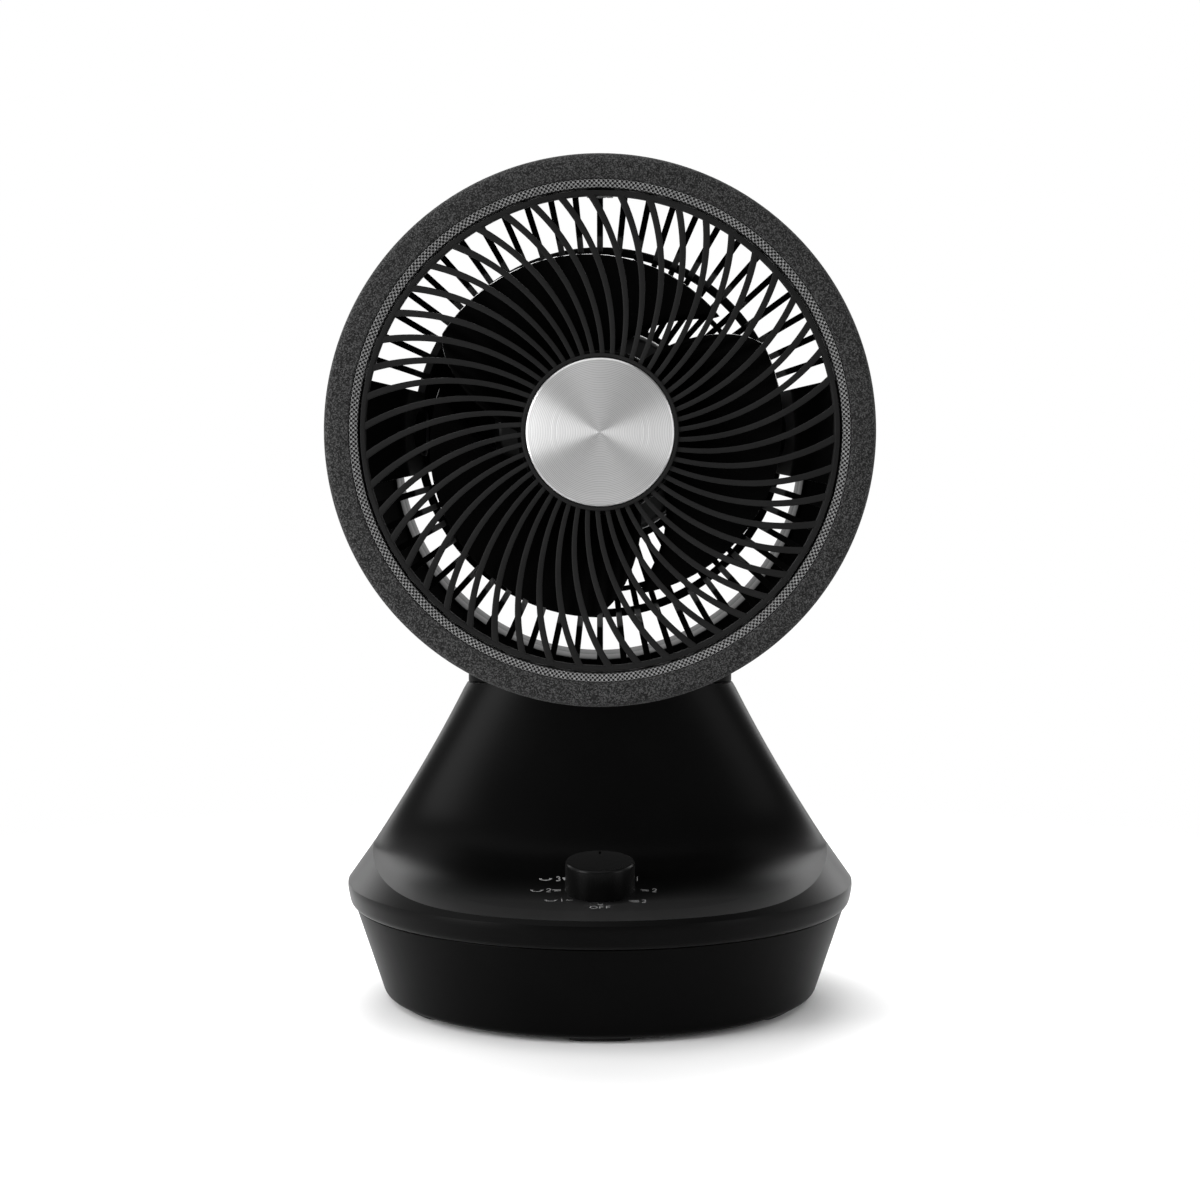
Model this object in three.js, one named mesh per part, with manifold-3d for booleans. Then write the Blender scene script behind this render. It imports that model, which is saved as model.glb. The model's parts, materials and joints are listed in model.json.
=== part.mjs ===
// Table-top air circulator fan: a fan head in a fabric-covered ring, tilting in a U-shaped yoke
// that swings on the neck of a round base. Millimetres, +Z up, the front faces -Y, and the origin
// is on the table surface under the axis of the base.
import * as THREE from "three";
import Module from "manifold-3d";
import { mergeVertices } from "three/addons/utils/BufferGeometryUtils.js";

const wasm = await Module();
wasm.setup();

// ---------------------------------------------------------------- driving dimensions

// clearances
const GAP = 0.3; // between resting neighbours
const RUN = 0.6; // between pieces that turn past each other
const JOIN = 1; // how far two shapes reach into each other before they are joined
const QUARTER = Math.PI / 2; // a quarter turn

// base
const FOOT_HEIGHT = 1.9;
const FOOT_COUNT = 6;
const FOOT_RADIUS = 94; // middle of each foot from the base axis
const FOOT_WIDTH = 27;
const FOOT_DEPTH = 11;
const TUB_BOTTOM_RADIUS = 102;
const TUB_CORNER = 4.5; // rounding between the tub's floor and wall
const TUB_DRAFT = 0.333; // how much the wall leans out per millimetre of height
const TUB_TOP = 46; // height of the seam between the tub and the cover
const TUB_WALL = 2.6;
const LIP_RADIUS = 123.2; // widest part of the cover, just above the seam
const LIP_HEIGHT = 12.4; // from the seam to the foot of the chamfer band
const BAND_SLOPE = 0.708; // how much the chamfer band leans in per millimetre of height
const CREASE_SIDE = 75.2; // height of the crease at the sides and the back
const CREASE_FRONT = 59.4; // height of the crease under the scoop
const NECK_TOP = 153;
const NECK_HALF_WIDTH = 64.9;
const NECK_HALF_DEPTH = 30;
const SCOOP_POWER = 5; // how tightly the scoop turns up into the neck
const CREASE_POWER = 6; // how sharply the crease dips toward the front
const FLARE_EVENNESS = 0.86; // share of the flare's spread that grows evenly on the way down
const COVER_WALL = 3;
const NECK_PLATE = 4; // thickness of the plate that closes the neck

// screw posts and screws
const POST_RADIUS = 6;
const POST_X = 72;
const POST_Y = 42;
const SCREW_RADIUS = 1.9;
const SCREW_HEAD_RADIUS = 3.6;
const SCREW_HEAD = 2.4;
const SCREW_BITE = 8; // how far a screw reaches into the piece that it fastens to
const SMALL_SCREW_RADIUS = 1.4;
const SMALL_HEAD_RADIUS = 2.8;
const SMALL_HEAD = 1.8;

// control knob and switch
const KNOB_SETBACK = 54.2; // from the lip back to the knob's axis
const KNOB_TILT = THREE.MathUtils.degToRad(8); // the knob leans forward with the scoop
const KNOB_RADIUS = 16.2;
const KNOB_HEIGHT = 14.6;
const KNOB_LIFT = 2.2; // between the scoop and the knob's skirt
const KNOB_EDGE = 1.2; // rounding of the knob's top edge
const KNOB_CAP = 5.2; // solid plastic over the end of the shaft
const KNOB_RECESS_RADIUS = 9; // hollow under the knob, round the nut
const POINTER_WIDTH = 1;
const POINTER_LENGTH = 4;
const POINTER_DEPTH = 0.6;
const POINTER_INSET = 2.4; // from the knob's side to the end of the pointer groove
const KNOB_SHAFT_RADIUS = 3;
const SWITCH_BUSH_RADIUS = 4.5;
const SWITCH_NUT = 1.8;
const SWITCH_NUT_RADIUS = 7.5;
const NUT_SEAT = 1.4; // height of the nut's seat above the middle of the hole
const SWITCH_SIZE = 22;
const SWITCH_DEPTH = 13;
const SWITCH_DROP = 7; // from the middle of the scoop's hole down to the switch's case

// electrical pieces in the base
const BOARD_WIDTH = 64;
const BOARD_DEPTH = 42;
const BOARD_THICKNESS = 1.6;
const BOARD_HEIGHT = 20;
const BOARD_Y = 30;
const BOARD_POST_RADIUS = 3.6;
const CAPACITOR_WIDTH = 36;
const CAPACITOR_DEPTH = 16;
const CAPACITOR_HEIGHT = 18;
const INLET_HEIGHT = 19;
const INLET_RADIUS = 5.8;
const INLET_BORE = 4.2;
const INLET_FLANGE = 9;

// swivel and its drive
const SPINDLE_RADIUS = 11;
const SPINDLE_BORE = 7;
const SPINDLE_BOTTOM = 124;
const SPINDLE_FLANGE_RADIUS = 20;
const SPINDLE_FLANGE = 2.2;
const WASHER_THICKNESS = 0.9;
const WASHER_RADIUS = 26;
const GEAR_MODULE = 1.2;
const GEAR_TEETH = 30;
const PINION_TEETH = 10;
const GEAR_THICKNESS = 6;
const GEAR_TOP = 145;
const GEAR_BACKLASH = 0.3; // extra distance between the two gear axes
const TOOTH_TIP = 0.85; // height of a tooth above the pitch circle, in modules
const TOOTH_ROOT = 1.15; // and of the space below it
const TOOTH_TIP_HALF = 0.1; // half a tooth's width at its tip, as a share of the pitch
const TOOTH_ROOT_HALF = 0.36; // and at its root
const CLIP_THICKNESS = 1.2;
const CLIP_RING = 3; // width of the clip round the spindle
const SWING_MOTOR_RADIUS = 14;
const SWING_MOTOR_HEIGHT = 17;
const SWING_MOTOR_OFFSET = 8; // from the can's axis to its shaft
const SWING_EAR_REACH = 17.5;
const SWING_EAR = 1.2; // thickness of the two ears
const SWING_SHAFT_RADIUS = 2;
const SWING_SHAFT_DEPTH = 8; // how deep the pinion's shaft sits in the motor

// yoke
const HEAD_Z = 274; // height of the tilt axis and of the head's centre
const YOKE_DROP = 10; // the yoke's arc is centred this far below the tilt axis
const YOKE_INNER = 97.7;
const YOKE_THICKNESS = 16.3;
const YOKE_HALF_DEPTH = 28;
const YOKE_END_RADIUS = 22; // rounded top of each arm, about the tilt axis
const YOKE_WALL = 2.6;
const PEDESTAL_HALF_WIDTH = 62;
const PEDESTAL_TOP = 190;
const YOKE_SCREW_ANGLES = [202, 236, 304, 338];
const YOKE_BOSS_RADIUS = 4.4;
const YOKE_HEAD_SEAT = 18; // where the screw heads bear, behind the middle of the yoke
const YOKE_SCREW_BITE = 17; // how far the screws reach in front of the middle of the yoke

// tilt pivots
const PIN_RADIUS = 5;
const PIN_REACH = 11; // from the yoke's inner face into the head
const PIN_CAP = 3; // solid plastic past the inner end of a pin
const BUSH_WALL = 3.4;
const BUSH_FLANGE_RADIUS = 12;
const BUSH_FLANGE = 2.2;
const TILT_NUT_RADIUS = 9;
const TILT_NUT = 5;
const PIVOT_BOSS_RADIUS = 11;

// head
const HEAD_FRONT = 81; // from the tilt axis forward to the ring's front face
const RING_RADIUS = 125;
const RING_DEPTH = 34;
const FABRIC = 2; // thickness of the fabric skin
const FABRIC_CORNER = 4;
const FABRIC_EDGE = 0.8; // rounding of the fabric's inner edge
const FABRIC_BAND = 11.6; // width of the fabric on the ring's front face
const TRIM_BAND = 3.9; // width of the woven trim inside it
const TRIM_DEPTH = 1.8;
const CARRIER_WALL = 2.3;
const GRILLE_CLEARANCE = 1.1; // between the trim and the grille
const GRILLE_RIM = 2.4;
const GRILLE_SKIRT = 13;
const GRILLE_INSET = 1.5; // from the ring's front face back to the ribs
const GRILLE_RIBS = 50;
const RIB_WIDTH = 2.7;
const RIB_DEPTH = 5.5;
const RIB_ARC_RADIUS = 97.9; // each rib is an arc of this radius
const RIB_ARC_CENTRE = 101.2; // whose centre is this far from the fan's axis
const RIB_START_ANGLE = THREE.MathUtils.degToRad(1.65); // polar angle of the first rib at the hub
const RIB_STEPS = 3;
const BADGE_RADIUS = 33.6;
const BADGE_INSET = 0.4; // from the ring's front face back to the badge
const BADGE_BEVEL = 0.8;
const CUP_DEPTH = 3.2;
const CUP_WALL = 1.6;
const CUP_RAISE = 0.7; // how far the cup's wall stands in front of the ribs
const REAR_RIBS = 60;
const REAR_RIB_WIDTH = 2.4;
const REAR_SHELL = 3.4;
const REAR_RIM_INSET = 4.8; // from the ring's side in to the rear grille's rim
const REAR_RIM_THICKNESS = 2.2;
const PANEL_HALF_ANGLE = THREE.MathUtils.degToRad(12.8); // solid panels at the two pivots
const HOOP_WIDTH = 4.1;
const HOOP_DEPTH = 2.4;
const HOOP_STATION = 0.57; // where the hoop lies along a rear rib, from rim to hub
const REAR_LEDGE = 7.2; // width of the flat rim round the mouth of the rear bowl
const BOWL_CLEARANCE = 2.1; // between the bowl and the yoke's arms
const BOWL_SHOULDER = 30; // from the tilt axis forward to where the bowl's wall begins
const BOWL_WAIST_RADIUS = 90;
const BOWL_WAIST = 8; // from the tilt axis back to where the bowl turns in
const BOWL_BACK = 37.4; // from the tilt axis back to the hub plate
const HUB_PLATE_RADIUS = 56;
const HUB_PLATE = 3;
const CLIP_WIDTH = 12;
const CLIP_LENGTH = 10;
const CLIP_PLATE = 1.8;

// fan motor and impeller
const HOUSING_RADIUS = 50;
const HOUSING_WALL = 2;
const HOUSING_CORNER = 4;
const HOUSING_FRONT = 28; // from the tilt axis forward to the housing's front face
const MOTOR_RADIUS = 37;
const MOTOR_LENGTH = 46;
const MOTOR_CHAMFER = 7;
const MOTOR_SCREW_CIRCLE = 26; // radius of the circle of screws behind the motor
const MOTOR_SHAFT_RADIUS = 4;
const IMPELLER_RADIUS = 85;
const IMPELLER_BLADES = 3;
const IMPELLER_FRONT = 66; // from the tilt axis forward to the hub's front face
const IMPELLER_HUB = 38;
const HUB_DEPTH = 28;
const HUB_WALL = 2.4;
const HUB_CORNER = 4;
const HUB_SLEEVE = 5; // from the motor's shaft to the outside of the hub's sleeve
const BLADE_THICKNESS = 2;
const BLADE_PITCH = 24; // how far a blade reaches along the axis
const BLADE_SPAN = THREE.MathUtils.degToRad(109.4);
const BLADE_START = THREE.MathUtils.degToRad(82.4);
const BLADE_ROOT_SHARE = 0.896; // span at the hub, as a share of the span at the tip
const BLADE_LEAD_SHARE = 0.912; // tip radius at the leading edge, as a share of the trailing edge's
const BLADE_DRAG = THREE.MathUtils.degToRad(41); // how far a blade is swept back between hub and tip
const BLADE_BELLY = 3; // how far the middle of a blade bows back
const NUT_RADIUS = 8;
const NUT_HEIGHT = 6;
const NUT_CHAMFER = 2;

// fineness of the round pieces
const RING_SIDES = 48;
const MEDIUM_SIDES = 24;
const SMALL_SIDES = 12;
const SCREW_SIDES = 6;
const COVER_ROWS = 7; // rings of the flare between the crease and the neck
const YOKE_STEPS = 22;
const YOKE_END_STEPS = 10;
const PEDESTAL_SIDES = 40;
const FOOT_STEPS = 4;

// ---------------------------------------------------------------- derived dimensions

const KNOB_Y = KNOB_SETBACK - LIP_RADIUS;
const HEAD_BACK = HEAD_FRONT - RING_DEPTH; // from the tilt axis forward to the ring's back plane
const FABRIC_INNER = RING_RADIUS - FABRIC_BAND;
const TRIM_INNER = FABRIC_INNER - TRIM_BAND;
const GRILLE_RADIUS = TRIM_INNER - GRILLE_CLEARANCE;
const REAR_RIM = RING_RADIUS - REAR_RIM_INSET;
const BOWL_MOUTH = REAR_RIM - REAR_LEDGE;
const YOKE_ARC_Z = HEAD_Z - YOKE_DROP;
const YOKE_OUTER = YOKE_INNER + YOKE_THICKNESS;
const YOKE_BOTTOM = NECK_TOP + WASHER_THICKNESS + 2 * GAP;
const YOKE_FLOOR = YOKE_BOTTOM + YOKE_WALL;
const TUB_FLOOR = FOOT_HEIGHT + GAP;
const TUB_FLOOR_TOP = TUB_FLOOR + TUB_WALL;
const COVER_BOTTOM = TUB_TOP + GAP;
const BAND_BOTTOM = TUB_TOP + LIP_HEIGHT;
const GEAR_RADIUS = (GEAR_MODULE * GEAR_TEETH) / 2;
const PINION_RADIUS = (GEAR_MODULE * PINION_TEETH) / 2;
const PINION_X = GEAR_RADIUS + PINION_RADIUS + GEAR_BACKLASH;
const SWING_MOTOR_X = PINION_X + SWING_MOTOR_OFFSET;
const GEAR_BOTTOM = GEAR_TOP - GEAR_THICKNESS;
const SWING_MOTOR_TOP = GEAR_BOTTOM - 3 * RUN;
const PIN_INNER_X = YOKE_INNER - PIN_REACH;
const BUSH_RADIUS = PIN_RADIUS + GAP + BUSH_WALL;
const BUSH_END_X = YOKE_INNER + YOKE_WALL + GAP + BUSH_FLANGE;
const TILT_NUT_X = BUSH_END_X + GAP;
const TUB_TOP_RADIUS = wallRadius(TUB_TOP);
const KNOB_TOP = KNOB_LIFT + KNOB_HEIGHT;
const SWITCH_TOP = -SWITCH_DROP;
const NUT_TOP = NUT_SEAT + SWITCH_NUT;
const GRILLE_FRONT = HEAD_FRONT - GRILLE_INSET;
const CUP_FLOOR = GRILLE_FRONT + CUP_RAISE - CUP_DEPTH;
const HUB_PLATE_FRONT = BOWL_BACK - HUB_PLATE;

// The tub's outer radius at a height.
function wallRadius(z) {
  return TUB_BOTTOM_RADIUS + TUB_CORNER + (z - TUB_FLOOR - TUB_CORNER) * TUB_DRAFT;
}

// ---------------------------------------------------------------- shape helpers

// A solid from a closed three.js geometry.
function solid(geometry) {
  const bare = geometry.clone();
  bare.deleteAttribute("normal");
  bare.deleteAttribute("uv");
  const merged = mergeVertices(bare, 1e-4);
  const mesh = new wasm.Mesh({
    numProp: 3,
    vertProperties: new Float32Array(merged.attributes.position.array),
    triVerts: new Uint32Array(merged.index.array),
  });
  return new wasm.Manifold(mesh);
}

// A three.js geometry from a solid.
function geometryOf(body) {
  const mesh = body.getMesh();
  const geometry = new THREE.BufferGeometry();
  geometry.setAttribute("position", new THREE.BufferAttribute(new Float32Array(mesh.vertProperties), 3));
  geometry.setIndex(new THREE.BufferAttribute(new Uint32Array(mesh.triVerts), 1));
  geometry.computeVertexNormals();
  return geometry;
}

function addAll(first, others) {
  return others.reduce((sum, other) => sum.add(other), first);
}

function cutAll(first, others) {
  return others.reduce((rest, other) => rest.subtract(other), first);
}

// A body turned about the vertical axis, from a closed outline of [radius, height] points.
function turned(outline, sides = MEDIUM_SIDES) {
  return turnedOnY(outline, sides).rotateX(QUARTER);
}

// A body turned about the Y axis, from a closed outline of [radius, y] points.
function turnedOnY(outline, sides = MEDIUM_SIDES) {
  const area = THREE.ShapeUtils.area(outline.map(([r, y]) => new THREE.Vector2(r, y)));
  const ordered = area > 0 ? outline : outline.toReversed();
  const points = [...ordered, ordered[0]].map(([r, y]) => new THREE.Vector2(r, y));
  return new THREE.LatheGeometry(points, sides);
}

// A ring or disc from one height to another; a disc has inner radius 0.
function ring(inner, outer, bottom, top, sides = MEDIUM_SIDES) {
  return turned([[inner, bottom], [outer, bottom], [outer, top], [inner, top]], sides);
}

// The same about the Y axis.
function ringOnY(inner, outer, back, front, sides = MEDIUM_SIDES) {
  return turnedOnY([[inner, back], [outer, back], [outer, front], [inner, front]], sides);
}

function box(width, depth, height, x, y, z) {
  return new THREE.BoxGeometry(width, depth, height).translate(x, y, z);
}

// A rod along X between two x positions.
function rodOnX(radius, from, to, sides = SMALL_SIDES) {
  const rod = new THREE.CylinderGeometry(radius, radius, Math.abs(to - from), sides);
  return rod.rotateZ(QUARTER).translate((from + to) / 2, 0, 0);
}

// A solid rod along Y at a place [x, z] in front view.
function rodOnY(radius, back, front, [x, z], sides = SCREW_SIDES) {
  return solid(ringOnY(0, radius, back, front, sides).translate(x, 0, z));
}

// A solid upright rod at a place [x, y] seen from above.
function post(radius, bottom, top, [x, y], sides = SCREW_SIDES) {
  return solid(ring(0, radius, bottom, top, sides).translate(x, y, 0));
}

// A plate whose outline is drawn in front view [x, z], between two y positions.
function frontPlate(outline, back, front) {
  const shape = new THREE.Shape(outline.map(([x, z]) => new THREE.Vector2(x, z)));
  const plate = new THREE.ExtrudeGeometry(shape, { depth: back - front, bevelEnabled: false });
  return plate.rotateX(QUARTER).translate(0, back, 0);
}

// A plate whose outline is drawn from above [x, y], between two heights.
function flatPlate(outline, bottom, top) {
  const shape = new THREE.Shape(outline.map(([x, y]) => new THREE.Vector2(x, y)));
  const plate = new THREE.ExtrudeGeometry(shape, { depth: top - bottom, bevelEnabled: false });
  return plate.translate(0, 0, bottom);
}

// Points of an arc about a centre from one angle to another, both ends included.
function arc(centreX, centreY, radius, from, to, steps) {
  return Array.from({ length: steps + 1 }, (_, i) => {
    const angle = from + ((to - from) * i) / steps;
    return [centreX + radius * Math.cos(angle), centreY + radius * Math.sin(angle)];
  });
}

// A screw standing on the vertical axis, head down, from the bottom of its head to its tip.
function screwShape(radius, headRadius, head, length) {
  const headOutline = [[0, 0], [headRadius, 0], [headRadius, head]];
  return turned([...headOutline, [radius, head], [radius, length], [0, length]], SCREW_SIDES);
}

const finishes = {
  gloss: { color: "#0c0c0d", roughness: 0.28, metalness: 0 },
  satin: { color: "#141415", roughness: 0.5, metalness: 0 },
  matt: { color: "#1c1c1d", roughness: 0.75, metalness: 0 },
  fabric: { color: "#45454a", roughness: 0.95, metalness: 0 },
  weave: { color: "#77777a", roughness: 0.9, metalness: 0 },
  aluminium: { color: "#b9babc", roughness: 0.3, metalness: 1 },
  steel: { color: "#8f9193", roughness: 0.4, metalness: 1 },
  rubber: { color: "#101010", roughness: 0.9, metalness: 0 },
  light: { color: "#a9a9a6", roughness: 0.5, metalness: 0 },
  natural: { color: "#d8d6cc", roughness: 0.5, metalness: 0 },
  green: { color: "#2c5a38", roughness: 0.6, metalness: 0 },
};

function part(name, geometry, finish) {
  const mesh = new THREE.Mesh(geometry, new THREE.MeshStandardMaterial(finishes[finish]));
  mesh.name = name;
  return mesh;
}

// ---------------------------------------------------------------- base

const postPlaces = [[POST_X, POST_Y], [-POST_X, POST_Y], [POST_X, -POST_Y], [-POST_X, -POST_Y]];

// The tub is a leaning wall on a rounded floor, with four screw posts and two board posts.
function makeTub() {
  const innerBottom = wallRadius(TUB_FLOOR_TOP + TUB_CORNER) - TUB_WALL;
  const shell = turned([
    [0, TUB_FLOOR],
    ...arc(TUB_BOTTOM_RADIUS, TUB_FLOOR + TUB_CORNER, TUB_CORNER, -QUARTER, 0, 3),
    [TUB_TOP_RADIUS, TUB_TOP],
    [TUB_TOP_RADIUS - TUB_WALL, TUB_TOP],
    [innerBottom, TUB_FLOOR_TOP + TUB_CORNER],
    [innerBottom - TUB_CORNER, TUB_FLOOR_TOP],
    [0, TUB_FLOOR_TOP],
  ], RING_SIDES);
  const posts = postPlaces.map((place) =>
    post(POST_RADIUS, TUB_FLOOR_TOP - JOIN, TUB_TOP, place, SMALL_SIDES));
  const boardPosts = boardPostPlaces().map((place) =>
    post(BOARD_POST_RADIUS, TUB_FLOOR_TOP - JOIN, BOARD_HEIGHT - GAP, place));
  const bores = postPlaces.flatMap((place) => [
    post(SCREW_RADIUS + GAP, 0, TUB_TOP + JOIN, place),
    post(SCREW_HEAD_RADIUS + GAP, 0, TUB_FLOOR + SCREW_HEAD + GAP, place),
  ]);
  const drill = ring(0, INLET_RADIUS + GAP, -2 * TUB_WALL, 2 * TUB_WALL, SMALL_SIDES);
  const inletHole = solid(placeInlet(drill));
  const joined = addAll(solid(shell), [...posts, ...boardPosts]);
  return part("base_tub", geometryOf(cutAll(joined, [...bores, inletHole])), "satin");
}

function boardPostPlaces() {
  const x = BOARD_WIDTH / 2 - BOARD_POST_RADIUS;
  const y = BOARD_DEPTH / 2 - BOARD_POST_RADIUS;
  return [[x, BOARD_Y + y], [-x, BOARD_Y + y], [x, BOARD_Y - y], [-x, BOARD_Y - y]];
}

// Puts a piece made about the vertical axis square on the tub's leaning back wall.
function placeInlet(geometry) {
  const lean = Math.atan(TUB_DRAFT);
  const wallMiddle = wallRadius(INLET_HEIGHT) - TUB_WALL / 2;
  return geometry.rotateX(-QUARTER - lean).translate(0, wallMiddle, INLET_HEIGHT);
}

// The cord grommet: a flanged sleeve through the wall.
function makeInlet() {
  const outside = TUB_WALL / 2 + 2 * GAP;
  const sleeve = turned([
    [INLET_BORE, -outside],
    [INLET_RADIUS, -outside],
    [INLET_RADIUS, outside],
    [INLET_FLANGE, outside],
    [INLET_RADIUS + JOIN, outside + TUB_WALL],
    [INLET_BORE, outside + TUB_WALL],
  ], SMALL_SIDES);
  return part("cord_inlet", placeInlet(sleeve), "rubber");
}

// One foot is a flat pad curved with the rim of the base.
function makeFoot(index) {
  const half = FOOT_WIDTH / FOOT_RADIUS / 2;
  const outer = arc(0, 0, FOOT_RADIUS + FOOT_DEPTH / 2, -QUARTER - half, -QUARTER + half, FOOT_STEPS);
  const inner = arc(0, 0, FOOT_RADIUS - FOOT_DEPTH / 2, -QUARTER + half, -QUARTER - half, FOOT_STEPS);
  const foot = part(`foot_${index + 1}`, flatPlate([...outer, ...inner], 0, FOOT_HEIGHT), "rubber");
  foot.rotation.z = (index * 2 * Math.PI) / FOOT_COUNT;
  return foot;
}

function makeBaseScrew(index) {
  const length = COVER_BOTTOM + SCREW_BITE - TUB_FLOOR;
  const screw = part(`base_screw_${index + 1}`,
    screwShape(SCREW_RADIUS, SCREW_HEAD_RADIUS, SCREW_HEAD, length), "steel");
  screw.position.set(postPlaces[index][0], postPlaces[index][1], TUB_FLOOR);
  return screw;
}

// ---------------------------------------------------------------- top cover

// Height of the crease at an angle from the front; it dips under the scoop.
function creaseHeight(angle) {
  if (Math.cos(angle) < 0) return CREASE_SIDE;
  return CREASE_FRONT + (CREASE_SIDE - CREASE_FRONT) * Math.abs(Math.sin(angle)) ** CREASE_POWER;
}

function bandRadius(z) {
  return LIP_RADIUS - JOIN - (z - BAND_BOTTOM) * BAND_SLOPE;
}

// How far the flare has spread at a share of its height, 1 at the crease and 0 at the neck.
function spread(share) {
  return FLARE_EVENNESS * share + (1 - FLARE_EVENNESS) * share ** 2;
}

// Half the width of the flare.
function flareWidth(share) {
  return NECK_HALF_WIDTH + (bandRadius(CREASE_SIDE) - NECK_HALF_WIDTH) * spread(share);
}

// Depth of the scoop's profile in the middle of the front.
function scoopDepth(share) {
  const rise = bandRadius(CREASE_FRONT) - NECK_HALF_DEPTH;
  return NECK_HALF_DEPTH + rise * (1 - (1 - share ** SCOOP_POWER) ** (1 / SCOOP_POWER));
}

// Depth of the flare behind the neck.
function backDepth(share) {
  return NECK_HALF_DEPTH + (bandRadius(CREASE_SIDE) - NECK_HALF_DEPTH) * spread(share);
}

function ellipseRadius(halfWidth, halfDepth, angle) {
  return 1 / Math.hypot(Math.sin(angle) / halfWidth, Math.cos(angle) / halfDepth);
}

// A point of the flare at a share of its height and an angle from the front, as [radius, height].
function flarePoint(share, angle) {
  const front = Math.cos(angle) >= 0;
  const depth = front ? scoopDepth(share) : backDepth(share);
  const creaseDepth = front ? scoopDepth(1) : backDepth(1);
  const plain = ellipseRadius(flareWidth(share), depth, angle);
  const plainCrease = ellipseRadius(flareWidth(1), creaseDepth, angle);
  const fit = bandRadius(creaseHeight(angle)) / plainCrease;
  const radius = plain * (1 + (fit - 1) * share ** 4);
  return [radius, NECK_TOP - (NECK_TOP - creaseHeight(angle)) * share];
}

// The cover's outside, or its hollow when it is shrunk by the wall: a lathe whose upper rings are
// drawn out to the crease, the scoop and the neck.
function coverForm(wall, bottom, top, sides, rows) {
  const lip = [
    [TUB_TOP_RADIUS - wall, bottom],
    [LIP_RADIUS - JOIN / 2 - wall, TUB_TOP + LIP_HEIGHT / 4],
    [LIP_RADIUS - wall, TUB_TOP + LIP_HEIGHT / 2],
    [LIP_RADIUS - wall, TUB_TOP + (LIP_HEIGHT * 3) / 4],
    [LIP_RADIUS - JOIN - wall, BAND_BOTTOM],
  ];
  const shares = [];
  for (let i = 0; i <= rows; i++) shares.push(Math.cos((i / rows) * QUARTER) ** (2 / SCOOP_POWER));
  const outline = [[0, bottom], ...lip, ...shares.map((share) => [1 + share, top - share]), [0, top]];
  const points = outline.map(([r, z]) => new THREE.Vector2(r, z));
  const form = new THREE.LatheGeometry(points, sides).rotateX(QUARTER);
  const firstRow = 1 + lip.length;
  const place = form.attributes.position;
  for (let column = 0; column <= sides; column++) {
    const angle = ((column % sides) * 2 * Math.PI) / sides;
    shares.forEach((share, row) => {
      const [radius, height] = flarePoint(share, angle);
      const z = row === rows ? top : height - wall;
      const index = column * points.length + firstRow + row;
      place.setXYZ(index, (radius - wall) * Math.sin(angle), -(radius - wall) * Math.cos(angle), z);
    });
  }
  return form;
}

// A point on the scoop under the knob, and the knob's leaning axis.
function placeOnScoop(geometry) {
  let share = 1;
  while (scoopDepth(share) > -KNOB_Y) share -= 0.001;
  const z = flarePoint(share, 0)[1];
  return geometry.rotateX(KNOB_TILT).translate(0, KNOB_Y, z);
}

function makeTopCover() {
  const innerRows = COVER_ROWS - 2;
  const plateMiddle = NECK_TOP - NECK_PLATE / 2;
  const hollow = coverForm(COVER_WALL, COVER_BOTTOM - JOIN, NECK_TOP - NECK_PLATE, MEDIUM_SIDES, innerRows);
  const shell = solid(coverForm(0, COVER_BOTTOM, NECK_TOP, RING_SIDES, COVER_ROWS)).subtract(solid(hollow));
  const inWall = solid(coverForm(COVER_WALL / 2, COVER_BOTTOM, plateMiddle, MEDIUM_SIDES, innerRows));
  const bosses = postPlaces.map((place) =>
    post(POST_RADIUS, COVER_BOTTOM, NECK_TOP, place, SMALL_SIDES).intersect(inWall));
  const motorPosts = swingScrewPlaces().map((place) =>
    post(SMALL_HEAD_RADIUS, SWING_MOTOR_TOP + GAP, NECK_TOP - JOIN, place));
  const bores = postPlaces.map((place) =>
    post(SCREW_RADIUS + GAP, 0, COVER_BOTTOM + SCREW_BITE + JOIN, place));
  const motorBores = swingScrewPlaces().map((place) =>
    post(SMALL_SCREW_RADIUS + GAP, 0, SWING_MOTOR_TOP + SCREW_BITE + GAP, place));
  const spindleHole = solid(ring(0, SPINDLE_RADIUS + GAP, GEAR_TOP, NECK_TOP + JOIN));
  const drill = ring(0, SWITCH_BUSH_RADIUS + GAP, -2 * COVER_WALL, 2 * COVER_WALL, SMALL_SIDES);
  const switchHole = solid(placeOnScoop(drill));
  const joined = addAll(shell, [...bosses, ...motorPosts]);
  const cover = cutAll(joined, [...bores, ...motorBores, spindleHole, switchHole]);
  return part("top_cover", geometryOf(cover), "satin");
}

// ---------------------------------------------------------------- knob and switch

// The rotary switch hangs under the scoop with its threaded bush through the cover.
function makeSwitchBody() {
  const middle = SWITCH_TOP - SWITCH_DEPTH / 2;
  const body = solid(box(SWITCH_SIZE, SWITCH_SIZE, SWITCH_DEPTH, 0, 0, middle));
  const bush = solid(ring(0, SWITCH_BUSH_RADIUS, SWITCH_TOP - JOIN, NUT_TOP, SMALL_SIDES));
  const bore = solid(ring(0, KNOB_SHAFT_RADIUS + GAP, middle, NUT_TOP + JOIN, SMALL_SIDES));
  return part("switch_body", placeOnScoop(geometryOf(body.add(bush).subtract(bore))), "matt");
}

function makeSwitchNut() {
  const hexagon = solid(ring(0, SWITCH_NUT_RADIUS, NUT_SEAT, NUT_TOP, SCREW_SIDES));
  const bore = solid(ring(0, SWITCH_BUSH_RADIUS + GAP, 0, NUT_TOP + JOIN, SMALL_SIDES));
  return part("switch_nut", placeOnScoop(geometryOf(hexagon.subtract(bore))), "steel");
}

function makeKnobShaft() {
  const bottom = SWITCH_TOP - SWITCH_DEPTH / 2 + GAP;
  const shaft = ring(0, KNOB_SHAFT_RADIUS, bottom, KNOB_TOP - KNOB_CAP - GAP, SMALL_SIDES);
  return part("knob_shaft", placeOnScoop(shaft), "natural");
}

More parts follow.
